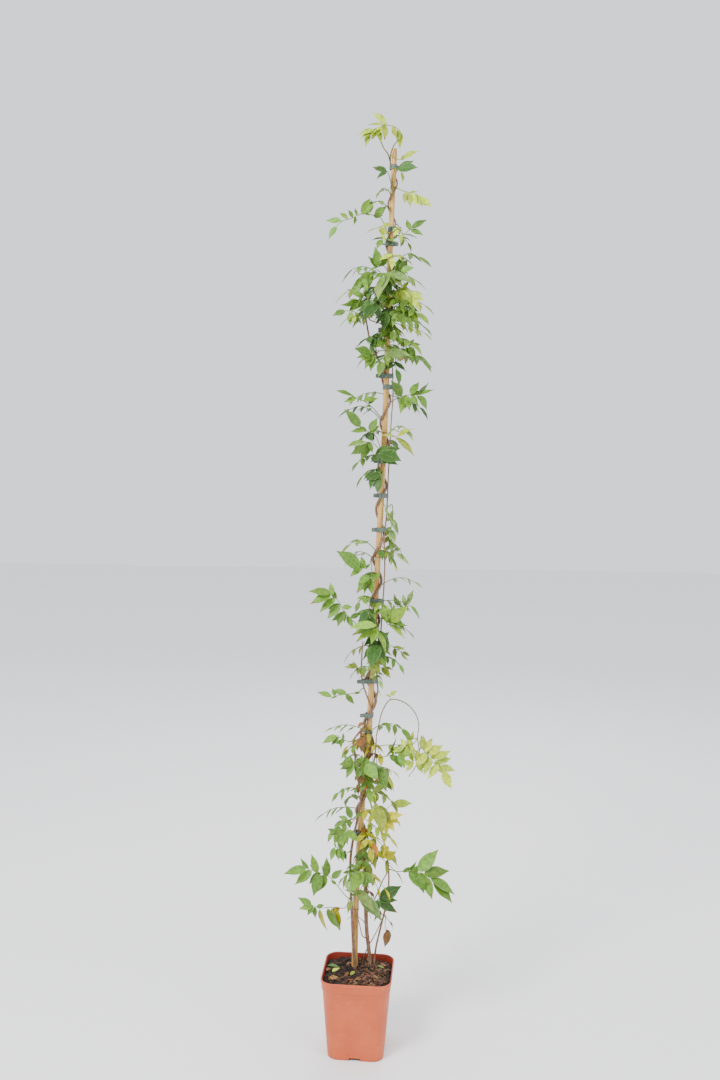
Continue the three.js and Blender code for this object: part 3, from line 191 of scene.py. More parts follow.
# The other stems: those with foot stand in the soil, those with from_main branch off the main stem there
STEMS = [
    dict(name="left_stem", radii=[3.6, 1.5], foot=True, way=[
        (-8, 22, 140), (-8, 22, 200), (-12, 14, 246), (-17, 14, 334), (-22, 16, 420), (-22, 18, 483),
        (-17, 18, 521), (-11, 14, 555), (1, 6, 645), (-13, 2, 701), (-15, 0, 749), (-19, 0, 779),
        (-8, -2, 800), (8, 2, 806), (16, 4, 823), (23, 5, 851), (15, 2, 881), (6, 8, 904), (0, 8, 927),
        (-2, 6, 977), (1, 4, 1024),
    ]),
    dict(name="thin_stem", radii=[2.3, 1.3], foot=True, way=[
        (41, 36, 140), (41, 36, 200), (44, 31, 237), (63, 22, 331), (72, 18, 379), (73, 16, 442),
        (67, 14, 486), (52, 10, 546), (37, 8, 582), (27, 8, 612), (24, 6, 652), (31, 4, 716), (36, 4, 759),
        (37, 4, 788),
    ]),
    dict(name="crossing_shoot", radii=[1.3, 1.1], foot=True, way=[
        (12, 44, 140), (12, 44, 195), (20, 38, 228), (46, 26, 285), (63, 22, 329),
    ]),
    dict(name="straight_stem", radii=[1.7, 1.2], from_main=866, way=[
        (39, 15, 885), (36, 13, 930), (38, 13, 970), (43, 12, 1001), (44, 8, 1046), (48, 4, 1123),
        (51, 2, 1209), (49, 1, 1277), (53, -1, 1328), (56, -2, 1426), (59, -4, 1517), (62, -4, 1582),
        (64, -6, 1615), (63, -5, 1655), (60, -8, 1707),
    ]),
    dict(name="left_twig", radii=[2.2, 1.6], from_main=1663, way=[
        (29, -3, 1700), (18, -10, 1723), (7, -14, 1748), (-1, -14, 1785), (-7, -14, 1816),
    ]),
    dict(name="upper_twig", radii=[1.4, 1], from_main=1784, way=[
        (24, -8, 1790), (12, -14, 1793), (5, -15, 1796), (2, -14, 1806),
    ]),
    dict(name="upright_twig", radii=[1.3, 1], way=[(24, -7, 1711), (20, -15, 1738), (19, -18, 1757)]),
    dict(name="drooping_twig", radii=[1.1, 0.8], way=[
        (44, 9.5, 1030), (51, 16, 1022), (55, 22, 999), (58, 26, 954),
    ]),
    dict(name="low_side_twig", radii=[1.3, 0.9], way=[(15, 14, 428), (26, 12, 458), (36, 10, 474)]),
    dict(name="low_link", radii=[1.5, 1.2], way=[
        (19, 22, 331), (34, 14, 362), (47, 10, 393), (60, 12, 425), (72, 16.5, 444),
    ]),
    dict(name="low_hooked_twig", radii=[1.4, 1], way=[
        (23, 27, 264), (15, 23, 264), (6, 20, 290), (-5, 16, 337),
    ]),
]
# Young shoots that carry leaves, each going on from the end of a stem
SHOOT_START = (GAP, 5)
SHOOTS = {
    "shoot": dict(radii=[1.5, 1], grows_from="vine", way=[
        (43, -10, 2180), (33, -8, 2194), (25, -6, 2216), (24, -4, 2230),
    ]),
    "brown_shoot": dict(radii=[1.5, 0.9], grows_from="vine", way=[
        (51, -12, 2186), (55, -11, 2197), (61, 0, 2209), (69, 4, 2219),
    ]),
    "arch": dict(radii=[1.3, 0.8], grows_from="thin_stem", way=[
        (40, -2, 802), (47, -6, 844), (64, -12, 878), (79, -16, 889), (97, -18, 882), (115, -20, 868),
        (132, -20, 851), (139, -18, 826), (137, -16, 791), (141, -16, 748), (132, -14, 715),
        (116, -12, 692),
    ]),
}
# Ties: flat plastic tape round the cane and the stems beside it
TIE_HEIGHT = 11
TIE_REACH = 27
TIE_LEVELS = (-0.5, -0.25, 0, 0.25, 0.5)
LEAST_STEEPNESS = 0.35
TIES = [
    dict(z=538, flap=-20, tail=16), dict(z=795, flap=170), dict(z=838, flap=200), dict(z=923, flap=190),
    dict(z=1122, flap=150), dict(z=1296, flap=185), dict(z=1379, flap=190), dict(z=1462, flap=140),
    dict(z=1639, flap=-30), dict(z=1665, flap=185), dict(z=1775, flap=160), dict(z=1975, flap=0),
    dict(z=2008, flap=-8, tail=14), dict(z=2153, flap=20, tail=6),
]
TIE_THICKNESS = 0.6
BAND_SIDES = 20
BAND_POINTS = 64
BAND_BEVEL = 0.3
FLAP_STEPS = 8
FLAP = {"length": 11, "thickness": 1.1, "sunk": 0.6, "height": 10.1, "curl": 0.22, "taper": 0.06}

# Leaf stalks and where they leave their stems
STALK = {"radius": 1.25, "tip_radius": 0.75, "step": 9, "sides": 7, "foot_swell": 0.6, "foot_share": 0.12}
CURVE_STEPS = 200
TINY = 1e-4
BUD = {"length": 5, "turn": 0.6, "spacing": 8, "clear_of_tie": 3, "wrong_side": 30}

# Leaf blades
BLADE_THICKNESS = 0.4
BLADE_WIDTH = 0.38
BLADE_LONGER = 1.08
BLADE_WIDER = 1.12

# A wide blade has a narrower neighbour that starts beside it
WIDEST_BLADE = 0.44
WIDE_BLADE = 0.42
WIDE_BLADE_LENGTH = 33
NEIGHBOUR_TURN = (26, 38)
NEIGHBOUR_SIZE = 0.74
NEIGHBOUR_TILT = 28
NEIGHBOUR_BACK = 1.5
NEIGHBOUR_DEPTH = 2.5

# Blades are drawn row by row, from a short stalk to the tip
BLADE_ROWS = 14
BLADE_HALF_COLUMNS = 4
BLADE_ROW_POWER = 0.95
BLADE_LAST_ROW = 0.99
BLADE_STALK_ROWS = (0.012, 0.0315)
BLADE_ROOT = 0.5
BLADE_FOLD = 0.2
BLADE_FOLD_POWER = 1.3
BLADE_DROOP = (0.05, 0.07)
BLADE_WIDEST_POWER = 0.74
BLADE_ROUNDNESS = 0.8
BLADE_DRAWN = 0.42
BLADE_TIP_START = 0.55
BLADE_RIB = 0.5
BLADE_RIB_POWER = 6
BLADE_RIPPLES = 9
BLADE_SICKLE = 0.06
FRESH_WAVE = 0.03
DRY_WAVE = 0.09
FRESH_CURL = 0.04
DRY_CURL = 0.2
LEAN_BACK = 16
LEAN_SPREAD = 4
LEAN_MOST = 52
LEAST_ROLL = 24
BLADE_FOOT = 0.045
BLADE_STALK_RADIUS = 0.7

# How the colour of one blade differs from the next, and across a blade
BLADE_BRIGHTNESS = (0.6, 0.72)
BLADE_WARMTH = (0.2, 0.45)
DRY_TIP_CHANCE = 0.7
DRY_TIP_START = 0.88
DRY_TIP_REACH = 0.12
# A blade's rim is paler: partly the leaf's own pale margin, partly painted sheen of its silky hairs
RIM_SHEEN_START = 0.7
RIM_PALENESS_AND_SHEEN = 0.4
UNDERSIDE_PALENESS = 0.25
STALK_SHARE = 0.6
STALK_TONE = (0.13, 0.13, 0.02)
SHOOT_TONE = (0.13, 0.10, 0.02)

# Leaves, by piece: what they grow from, their colour, and each leaf's way and blades. A way is the run of the
# leaf's stalk past its bud. A blade is its share along the way, its direction seen from the front (0 right,
# 90 up), its length, how wide it shows for its length, and for some how far it leans back.
LEAVES = [
    dict(name="top_shoots", shoots=["shoot", "brown_shoot"], tint="lime", leaves=[
        dict(way=[(24, -4, 2234), (30, -10, 2246), (39, -16, 2247)], blades=[
            (0.3, 212, 48, 0.2), (0.45, 232, 36, 0.35), (0.6, 168, 34, 0.25), (0.75, -86, 34, 0.35),
            (1, 150, 34, 0.4),
        ]),
        dict(way=[(33, 4, 2250), (49, 6, 2250), (64, 8, 2246), (73, 8, 2236)], blades=[
            (0.45, -72, 29, 0.3), (0.8, -93, 29, 0.4), (1, -96, 34, 0.4),
        ]),
        dict(way=[(69, -14, 2166), (76, -18, 2168)], blades=[
            (0.4, 40, 19, 0.3), (1, 22, 36, 0.3),
        ]),
        dict(way=[(18, -8, 2240), (8, -12, 2234), (0, -14, 2223)], blades=[
            (0.12, -70, 36, 0.3), (0.4, 199, 36, 0.3), (0.55, -96, 19, 0.3), (0.75, 211, 28, 0.3),
            (1, 246, 28, 0.4),
        ]),
    ]),
    dict(name="leaves_at_top_tie", stem="vine", tint="dark", leaves=[
        dict(way=[(43, -22, 2136), (39, -30, 2136)], blades=[
            (0.5, 158, 34, 0.4), (1, 186, 22, 0.5), (0.3, 215, 29, 0.3),
        ]),
        dict(way=[(57, -26, 2137), (66, -34, 2140)], blades=[
            (1, -3, 39, 0.5),
        ]),
    ]),
    dict(name="leaf_upper_lime", stem="vine", tint="lime", leaves=[
        dict(way=[(73, -8, 2099), (91, -16, 2092), (107, -22, 2086), (117, -26, 2079)], blades=[
            (0.3, -98, 27, 0.35), (0.45, -84, 31, 0.35), (0.6, -70, 31, 0.35), (0.75, -62, 31, 0.35),
            (0.9, -54, 29, 0.35), (0.5, 18, 19, 0.3), (1, -40, 36, 0.35),
        ]),
    ]),
    dict(name="leaves_upper_left", stem="vine", tint="green", leaves=[
        dict(way=[
            (26, -16, 2034), (3, -24, 2037), (-21, -30, 2036), (-39, -34, 2026), (-62, -36, 2019),
            (-74, -38, 2007),
        ], blades=[
            (0.14, 36, 34, 0.55), (0.26, 82, 36, 0.55), (0.42, 60, 44, 0.38), (0.52, 100, 19, 0.3),
            (0.62, 112, 22, 0.35), (0.72, 135, 26, 0.38), (0.85, 172, 36, 0.38), (0.55, -95, 19, 0.3),
            (1, 236, 33, 0.38),
        ]),
        dict(way=[(36, -22, 2012), (24, -28, 2008), (17, -30, 2005)], blades=[
            (0.2, 15, 22, 0.5), (0.5, -48, 27, 0.35), (0.8, -60, 39, 0.2), (1, 205, 24, 0.12),
        ], tint="lime"),
    ]),
    dict(name="leaf_upper_right", stem="vine", tint="green", leaves=[
        dict(way=[(75, 12, 1997), (92, 14, 2007), (101, 14, 2014)], blades=[
            (0.35, -14, 31, 0.16), (0.85, 102, 27, 0.5), (0.93, -24, 31, 0.38), (1, 35, 41, 0.32),
        ]),
    ]),
    dict(name="leaves_below_upper_tie", stem="vine", tint="green", leaves=[
        dict(way=[(37, -26, 1919), (23, -34, 1915)], blades=[
            (0.6, 62, 36, 0.42), (0.7, 200, 27, 0.2), (1, 98, 39, 0.48),
        ]),
        dict(way=[(59, -25, 1905), (75, -30, 1907)], blades=[
            (0.25, 62, 41, 0.3), (0.55, 40, 27, 0.3), (0.8, 52, 36, 0.5), (1, 14, 31, 0.45),
        ]),
    ]),
    dict(name="leaves_dense_left", stem="vine", tint="green", leaves=[
        dict(way=[(23, -34, 1908), (5, -52, 1898), (-16, -58, 1882)], blades=[
            (0.4, 232, 53, 0.5), (0.7, 165, 22, 0.2), (0.85, 228, 34, 0.35), (1, 245, 34, 0.35),
            (0.92, -66, 29, 0.4),
        ]),
        dict(way=[(20, -26, 1844), (-4, -44, 1841), (-22, -52, 1835)], blades=[
            (0.4, 118, 29, 0.5), (0.45, 238, 34, 0.5), (0.7, 146, 44, 0.3), (0.8, 232, 34, 0.4),
            (0.95, 205, 41, 0.18), (1, 186, 22, 0.3),
        ]),
    ]),
    dict(name="leaf_dense_pale", stem="vine", tint="pale", leaves=[
        dict(way=[(47, -38, 1908), (47, -50, 1896)], blades=[
            (0.55, -22, 58, 0.28), (0.75, -62, 36, 0.4), (0.9, -38, 44, 0.3), (1, 246, 63, 0.22),
        ]),
    ]),
    dict(name="leaves_dense_right", stem="vine", tint="lime", leaves=[
        dict(way=[(62, -30, 1868), (80, -42, 1861), (101, -48, 1856)], blades=[
            (0.3, -84, 39, 0.42), (0.45, -58, 41, 0.42), (0.5, 55, 27, 0.3), (0.65, -70, 41, 0.42),
            (0.85, -60, 46, 0.38), (1, -34, 34, 0.45),
        ]),
        dict(way=[(67, -12, 1831), (88, -20, 1828), (105, -24, 1820)], blades=[
            (0.4, -82, 36, 0.45), (0.65, -68, 39, 0.42), (0.85, -20, 22, 0.3), (1, -72, 39, 0.32),
        ], tint="fresh"),
    ]),
    dict(name="leaf_left_of_vine", stem="left_twig", tint="green", leaves=[
        dict(way=[(-20, -12, 1809), (-36, -20, 1814), (-51, -24, 1814)], blades=[
            (0.3, -66, 29, 0.3), (0.6, -98, 31, 0.45), (0.75, 62, 24, 0.2), (1, 200, 31, 0.42),
        ]),
    ]),
    dict(name="leaves_dense_front", stem="vine", tint="dark", leaves=[
        dict(way=[(24, -52, 1836), (15, -78, 1820)], blades=[
            (0.4, 50, 34, 0.5), (0.5, 204, 36, 0.5), (0.75, -72, 36, 0.5), (0.8, 166, 29, 0.5),
            (1, 236, 36, 0.5),
        ]),
        dict(way=[(57, -42, 1817), (71, -62, 1803)], blades=[
            (0.35, -106, 36, 0.45), (0.55, -50, 34, 0.42), (0.6, 40, 29, 0.5), (0.85, -112, 31, 0.4),
            (1, -62, 31, 0.45),
        ], tint="green"),
    ]),
    dict(name="leaves_at_third_tie", stem="vine", tint="green", leaves=[
        dict(way=[(44, -44, 1759)], blades=[
            (0.6, -46, 48, 0.25), (0.75, 205, 36, 0.45), (1, -22, 39, 0.5),
        ]),
    ]),
    dict(name="leaves_mid_right", stem="straight_stem", tint="green", leaves=[
        dict(way=[(75, 12, 1728), (92, 16, 1736), (106, 18, 1741)], blades=[
            (0.25, -40, 29, 0.3), (0.45, 105, 24, 0.45), (0.65, -74, 34, 0.35), (0.8, 48, 22, 0.4),
            (0.85, -64, 34, 0.4), (1, 8, 22, 0.4),
        ]),
        dict(way=[(85, 34, 1714), (117, 46, 1719)], blades=[
            (1, -28, 51, 0.2),
        ]),
    ]),
    dict(name="leaves_mid_front", stem="vine", tint="olive", leaves=[
        dict(way=[(45, -42, 1722), (52, -54, 1721)], blades=[
            (0.5, 150, 22, 0.3), (0.6, -14, 53, 0.22), (0.75, -28, 46, 0.24), (1, -38, 36, 0.45),
        ], tint="pale"),
        dict(way=[(22, -28, 1709), (10, -40, 1712)], blades=[
            (0.35, -104, 36, 0.42), (0.5, 236, 36, 0.42), (0.55, 106, 29, 0.35), (0.8, 192, 34, 0.38),
            (1, 164, 34, 0.48),
        ], tint="green"),
    ]),
    dict(name="leaf_right_of_tie", stem="straight_stem", tint="green", leaves=[
        dict(way=[(78, -14, 1616), (97, -22, 1619), (115, -28, 1619), (129, -30, 1620)], blades=[
            (0.14, 128, 39, 0.5, -34), (0.2, -98, 39, 0.42), (0.35, -76, 34, 0.45), (0.55, 62, 36, 0.42),
            (0.6, -60, 27, 0.5), (0.78, 40, 41, 0.2), (0.82, -54, 27, 0.24), (0.95, -64, 36, 0.4),
            (1, 27, 31, 0.2),
        ]),
    ]),
    dict(name="leaf_left_of_tie", stem="vine", tint="green", leaves=[
        dict(way=[(19, -20, 1585), (2, -30, 1599), (-17, -38, 1607), (-34, -44, 1614)], blades=[
            (0.15, 175, 15, 0.3), (0.3, 44, 22, 0.5), (0.55, 12, 36, 0.3), (0.8, 196, 29, 0.38),
            (0.85, 148, 19, 0.15), (1, 158, 36, 0.22),
        ]),
    ]),
    dict(name="leaves_second", stem="vine", tint="green", leaves=[
        dict(way=[(20, -30, 1526), (3, -44, 1532), (-11, -50, 1541)], blades=[
            (0.35, 66, 36, 0.5), (0.55, 150, 22, 0.4), (0.7, 186, 31, 0.32), (1, 134, 51, 0.36),
        ]),
        dict(way=[(18, -36, 1504), (3, -50, 1506)], blades=[
            (0.35, 238, 44, 0.42), (0.6, 216, 48, 0.42), (0.65, -70, 24, 0.4), (1, 190, 41, 0.2),
        ]),
        dict(way=[(37, -40, 1479)], blades=[
            (0.7, -34, 41, 0.5), (0.8, 214, 29, 0.45), (1, -14, 41, 0.5),
        ], tint="dark"),
        dict(way=[(35, -36, 1422)], blades=[
            (0.8, 204, 36, 0.5), (1, -100, 34, 0.55),
        ], tint="dark"),
    ]),
    dict(name="leaf_thin_right", stem="straight_stem", tint="lime", leaves=[
        dict(way=[(66, -14, 1520), (75, -20, 1523)], blades=[
            (0.4, -40, 60, 0.2), (0.5, 172, 29, 0.15, -30), (1, 26, 34, 0.25),
        ]),
    ]),
    dict(name="leaf_hanging_pale", stem="straight_stem", tint="pale", leaves=[
        dict(way=[(66, 10, 1359), (69, 16, 1325), (63, 20, 1285), (66, 22, 1253), (78, 20, 1239)], blades=[
            (0.12, -100, 34, 0.22), (0.25, 214, 22, 0.35), (0.3, -72, 31, 0.4), (0.45, 232, 29, 0.4),
            (0.5, -70, 31, 0.35), (0.64, 226, 24, 0.4), (0.68, -78, 34, 0.32), (0.82, 222, 19, 0.45),
            (0.9, -95, 27, 0.4), (0.94, 20, 19, 0.3), (1, -36, 41, 0.2),
        ]),
    ]),
    dict(name="leaves_third_left", stem="vine", tint="green", leaves=[
        dict(way=[(10, -16, 1205), (-7, -28, 1206)], blades=[
            (0.3, 52, 15, 0.4), (0.4, 112, 29, 0.45), (0.7, 132, 39, 0.25), (0.75, 205, 24, 0.4),
            (0.9, 160, 44, 0.32), (0.95, 214, 31, 0.35), (1, 140, 63, 0.32),
        ]),
        dict(way=[(18, -18, 1183), (13, -24, 1188)], blades=[
            (0.3, -86, 39, 0.35), (0.6, 228, 46, 0.38), (1, 212, 29, 0.42),
        ]),
    ]),
    dict(name="leaf_third_left_long", stem="vine", tint="green", leaves=[
        dict(way=[(-22, -26, 1075), (-43, -36, 1098), (-60, -44, 1128), (-77, -50, 1147)], blades=[
            (0.15, 26, 27, 0.35), (0.25, -64, 29, 0.42), (0.32, 204, 34, 0.38), (0.42, 246, 36, 0.42),
            (0.52, 2, 24, 0.5), (0.6, 226, 41, 0.48), (0.78, 122, 27, 0.42), (0.82, 218, 46, 0.3),
            (0.92, 108, 29, 0.5), (0.96, 200, 51, 0.3), (1, 170, 48, 0.28),
        ]),
    ]),
    dict(name="leaves_third_right", stem="straight_stem", tint="olive", leaves=[
        dict(way=[(61, -16, 1067), (67, -24, 1076)], blades=[
            (0.35, -34, 46, 0.16), (0.55, 122, 39, 0.4), (0.7, -4, 39, 0.15), (0.75, 100, 41, 0.4),
            (0.9, 30, 29, 0.2), (0.92, 76, 41, 0.4), (1, 52, 53, 0.32),
        ], tint="fresh"),
        dict(way=[(75, 14, 1107), (93, 20, 1109), (110, 24, 1114)], blades=[
            (0.3, 112, 29, 0.3), (0.5, 128, 24, 0.4), (0.55, -70, 19, 0.35), (0.75, 98, 24, 0.4),
            (0.85, 52, 24, 0.4), (1, 72, 34, 0.3),
        ], tint="pale"),
    ]),
    dict(name="leaf_third_front_lime", stem="vine", tint="lime", leaves=[
        dict(way=[(34, -44, 1049), (33, -56, 1073)], blades=[
            (0.45, -62, 53, 0.16), (0.6, 206, 53, 0.2), (0.72, 248, 36, 0.55), (0.85, 192, 58, 0.18),
            (1, 178, 60, 0.18),
        ], tint="fresh"),
    ]),
    dict(name="leaves_fourth_front", stem="vine", tint="dark", leaves=[
        dict(way=[(11, -42, 1104)], blades=[
            (0.5, 112, 27, 0.4), (0.6, 244, 34, 0.45), (0.8, 208, 31, 0.4), (1, 228, 29, 0.4),
        ]),
        dict(way=[(37, -38, 1032), (34, -50, 1026)], blades=[
            (0.4, 42, 34, 0.5), (0.5, -30, 31, 0.35), (0.7, 222, 34, 0.5), (0.8, -64, 39, 0.45),
            (1, -112, 41, 0.5),
        ]),
    ]),
    dict(name="leaves_fourth_sides", stem="straight_stem", tint="olive", leaves=[
        dict(way=[(64, 10, 1014), (84, 16, 1001), (97, 18, 996)], blades=[
            (0.3, -8, 29, 0.15), (0.45, -84, 22, 0.5), (0.65, 20, 19, 0.15), (0.9, -54, 27, 0.2),
            (1, -26, 22, 0.3),
        ]),
        dict(way=[(43, -12, 961), (50, -16, 964)], blades=[
            (0.4, -40, 29, 0.33), (0.85, -36, 22, 0.38), (1, -4, 22, 0.15),
        ]),
    ]),
    dict(name="leaf_fourth_left", stem="left_stem", tint="olive", leaves=[
        dict(way=[(-6, -14, 958), (-15, -20, 964)], blades=[
            (0.4, -50, 24, 0.35), (0.6, 134, 19, 0.4), (0.8, 178, 29, 0.22), (1, 152, 19, 0.4),
        ]),
    ]),
    dict(name="leaf_fifth_left", stem="left_stem", tint="green", leaves=[
        dict(way=[(-10, 12, 895), (-34, 20, 889), (-59, 28, 883), (-74, 32, 878)], blades=[
            (0.15, 5, 15, 0.3), (0.42, 166, 36, 0.28), (0.48, -42, 29, 0.35), (0.8, 205, 15, 0.3),
            (0.88, 108, 19, 0.5), (1, 161, 36, 0.24),
        ]),
    ]),
    dict(name="leaf_sixth_left", stem="left_stem", tint="green", leaves=[
        dict(way=[(-28, -6, 776), (-45, -12, 784), (-59, -18, 795)], blades=[
            (0.35, 198, 22, 0.42), (0.45, 98, 15, 0.4), (0.6, -98, 22, 0.32), (0.85, 226, 24, 0.42),
            (1, 204, 36, 0.32),
        ]),
    ]),
    dict(name="withered_leaves", stem="left_stem", tint="brown", leaves=[
        dict(way=[(9, -34, 791)], blades=[
            (0.6, -88, 29, 0.5), (0.75, 252, 36, 0.5), (1, 196, 22, 0.5),
        ]),
    ]),
    dict(name="leaves_seventh_front", stem="left_stem", tint="green", leaves=[
        dict(way=[(-12, -30, 730), (-22, -38, 733)], blades=[
            (0.3, -70, 27, 0.4), (0.55, 238, 36, 0.36), (0.6, 122, 19, 0.3), (0.8, 206, 31, 0.42),
            (0.85, 146, 31, 0.3), (1, 176, 27, 0.48),
        ]),
        dict(way=[(10, -38, 731)], blades=[
            (0.6, 76, 19, 0.5), (0.75, -84, 31, 0.45), (1, -38, 36, 0.48),
        ]),
    ]),
    dict(name="leaves_seventh_right", stem="thin_stem", tint="green", leaves=[
        dict(way=[(56, -14, 742), (80, -24, 752), (99, -30, 759)], blades=[
            (0.12, 54, 48, 0.16), (0.3, -28, 29, 0.38), (0.5, -52, 36, 0.34), (0.62, 58, 24, 0.42),
            (0.8, -62, 36, 0.4), (0.85, 35, 22, 0.4), (1, -18, 22, 0.45),
        ]),
        dict(way=[(39, -28, 726)], blades=[
            (1, -62, 44, 0.38),
        ]),
    ]),
    dict(name="leaves_eighth_right", stem="thin_stem", tint="olive", leaves=[
        dict(way=[(47, -16, 682), (62, -24, 685)], blades=[
            (0.4, 186, 22, 0.5), (0.75, 72, 29, 0.42), (0.85, 222, 41, 0.5), (1, -52, 22, 0.5),
        ]),
        dict(way=[(33, -14, 627), (41, -22, 624)], blades=[
            (0.3, 104, 29, 0.4), (0.6, -58, 31, 0.4), (0.85, -100, 34, 0.42), (1, -76, 48, 0.42),
        ], tint="lime", odd_tints={3: "olive"}),
        dict(way=[(56, -2, 605), (78, 2, 618)], blades=[
            (1, 4, 48, 0.28),
        ], tint="lime"),
    ]),
    dict(name="leaf_ninth_yellow", stem="thin_stem", tint="yellow", leaves=[
        dict(way=[(51, -16, 590), (61, -22, 596)], blades=[
            (0.35, -104, 34, 0.35), (0.55, -74, 39, 0.35), (0.75, -50, 39, 0.32), (0.9, -14, 36, 0.38),
            (1, 17, 39, 0.36),
        ]),
    ]),
    dict(name="leaves_tenth_yellow", stem="thin_stem", tint="yellow", leaves=[
        dict(way=[(76, 1, 486), (62, -12, 488)], blades=[
            (0.4, 112, 34, 0.4), (0.6, 158, 34, 0.48), (1, 50, 34, 0.44),
        ]),
    ]),
    dict(name="leaves_ninth_left", stem="left_stem", tint="green", leaves=[
        dict(way=[(-8, -20, 596), (-22, -28, 591), (-37, -32, 587)], blades=[
            (0.25, 28, 24, 0.4), (0.5, 112, 31, 0.5), (0.75, 162, 24, 0.32), (1, 200, 27, 0.3),
        ]),
        dict(way=[(-27, -30, 571), (-41, -40, 565), (-58, -44, 561)], blades=[
            (0.3, -38, 39, 0.33), (0.38, 192, 34, 0.33), (0.48, -70, 31, 0.4), (0.62, -90, 44, 0.45),
            (0.72, 240, 22, 0.4), (0.95, -60, 34, 0.48), (1, 146, 22, 0.42),
        ]),
    ]),
    dict(name="leaf_tenth_left", stem="left_stem", tint="green", leaves=[
        dict(way=[(-29, -10, 499), (-46, -18, 512), (-61, -22, 518)], blades=[
            (0.35, -78, 22, 0.45), (0.6, -80, 29, 0.45), (0.82, -84, 27, 0.42), (0.9, 120, 12, 0.4),
            (1, -108, 31, 0.35),
        ]),
    ]),
    dict(name="leaves_low_left", stem="left_stem", tint="green", leaves=[
        dict(way=[
            (-35, -10, 392), (-57, -20, 424), (-74, -28, 445), (-96, -36, 458), (-116, -40, 466),
            (-128, -44, 472),
        ], blades=[
            (0.3, 150, 15, 0.5), (0.46, 38, 31, 0.45), (0.55, 98, 39, 0.45), (0.58, 240, 39, 0.43),
            (0.72, 252, 51, 0.45), (0.76, 118, 41, 0.42), (0.88, 214, 48, 0.33), (0.95, 136, 31, 0.33),
            (1, 186, 51, 0.25),
        ]),
        dict(way=[
            (-34, -12, 360), (-54, -20, 365), (-76, -28, 368), (-100, -34, 369), (-115, -38, 378),
        ], blades=[
            (0.15, 200, 29, 0.3), (0.3, -80, 51, 0.38), (0.42, -68, 48, 0.22), (0.54, -62, 56, 0.3),
            (0.76, -73, 51, 0.22), (0.86, 12, 19, 0.45), (0.9, -88, 24, 0.5), (0.95, 236, 24, 0.45),
            (0.97, 190, 31, 0.38), (1, 148, 36, 0.38),
        ], odd_tints={0: "orange", 1: "yellow", 2: "yellow", 4: "yellow"}),
    ]),
    dict(name="leaves_low_front", stem="vine", tint="green", leaves=[
        dict(way=[(6, -40, 466)], blades=[
            (0.6, -72, 34, 0.28), (0.75, 206, 44, 0.4), (0.85, -42, 39, 0.33), (1, 230, 36, 0.48),
        ]),
        dict(way=[(-3, -42, 411), (-8, -52, 425)], blades=[
            (0.5, -42, 82, 0.2), (0.75, 152, 36, 0.5), (1, -38, 53, 0.25),
        ], tint="pale"),
    ]),
    dict(name="leaf_low_right_dark", stem="thin_stem", tint="dark", leaves=[
        dict(way=[(56, -22, 389), (46, -30, 392)], blades=[
            (0.45, -36, 48, 0.5), (0.8, 26, 58, 0.42), (1, -102, 31, 0.45),
        ]),
    ]),
    dict(name="leaf_low_right", stem="thin_stem", tint="green", leaves=[
        dict(way=[
            (95, -14, 455), (119, -22, 460), (141, -28, 460), (163, -33, 453), (177, -36, 446),
        ], blades=[
            (0.12, 15, 27, 0.5), (0.28, -38, 63, 0.28), (0.34, 14, 36, 0.45), (0.56, 43, 68, 0.36),
            (0.62, -78, 44, 0.46), (0.72, 4, 63, 0.27), (0.84, -78, 51, 0.38), (0.92, -24, 65, 0.16),
            (1, -43, 68, 0.26),
        ]),
    ]),
    dict(name="leaf_dead_low", stem="thin_stem", tint="brown", leaves=[
        dict(way=[(65, -14, 322), (68, -16, 307)], blades=[
            (1, -86, 41, 0.42),
        ]),
    ]),
    dict(name="arching_shoot", shoots=["arch"], tint="lime", leaves=[
        dict(way=[
            (145, -28, 772), (157, -34, 759), (171, -38, 750), (186, -40, 736), (196, -40, 717),
        ], blades=[
            (0.12, 92, 31, 0.35), (0.22, 62, 34, 0.36), (0.3, 222, 36, 0.42), (0.36, 36, 39, 0.35),
            (0.46, 242, 41, 0.32), (0.56, 26, 41, 0.3), (0.68, 12, 34, 0.35), (0.76, 232, 39, 0.36),
            (0.84, -10, 34, 0.4), (1, -60, 48, 0.4),
        ]),
        dict(way=[(126, -10, 786), (112, -6, 780)], blades=[
            (0.3, 72, 19, 0.5), (0.45, -82, 22, 0.5), (0.75, 106, 22, 0.5), (0.8, -78, 24, 0.45),
            (1, 224, 22, 0.5),
        ]),
        dict(way=[(122, -6, 755), (105, -2, 749)], blades=[
            (0.3, -62, 24, 0.4), (0.45, 112, 22, 0.5), (0.75, 222, 29, 0.45), (1, 158, 31, 0.45),
        ]),
        dict(way=[(68, -18, 896)], blades=[
            (1, 38, 19, 0.5), (0.6, 150, 12, 0.3),
        ]),
        dict(way=[(146, -10, 766), (159, -14, 751), (171, -16, 737), (182, -18, 724)], blades=[
            (0.1, 98, 29, 0.35), (0.2, 60, 29, 0.4), (0.28, 232, 31, 0.4), (0.38, 42, 31, 0.35),
            (0.5, 240, 32, 0.35), (0.62, 24, 29, 0.35), (0.75, 228, 29, 0.35), (0.88, 4, 27, 0.35),
            (1, -34, 32, 0.4),
        ]),
        dict(way=[(128, -22, 778), (114, -28, 775), (103, -30, 770)], blades=[
            (0.3, -74, 27, 0.4), (0.45, 96, 24, 0.4), (0.65, -98, 26, 0.4), (0.85, 118, 22, 0.4),
            (1, 198, 26, 0.4),
        ]),
        dict(way=[(138, -24, 740), (124, -28, 735)], blades=[
            (0.3, -60, 31, 0.4), (0.5, 74, 26, 0.4), (0.75, 232, 29, 0.4), (1, 186, 27, 0.4),
        ]),
    ]),
]

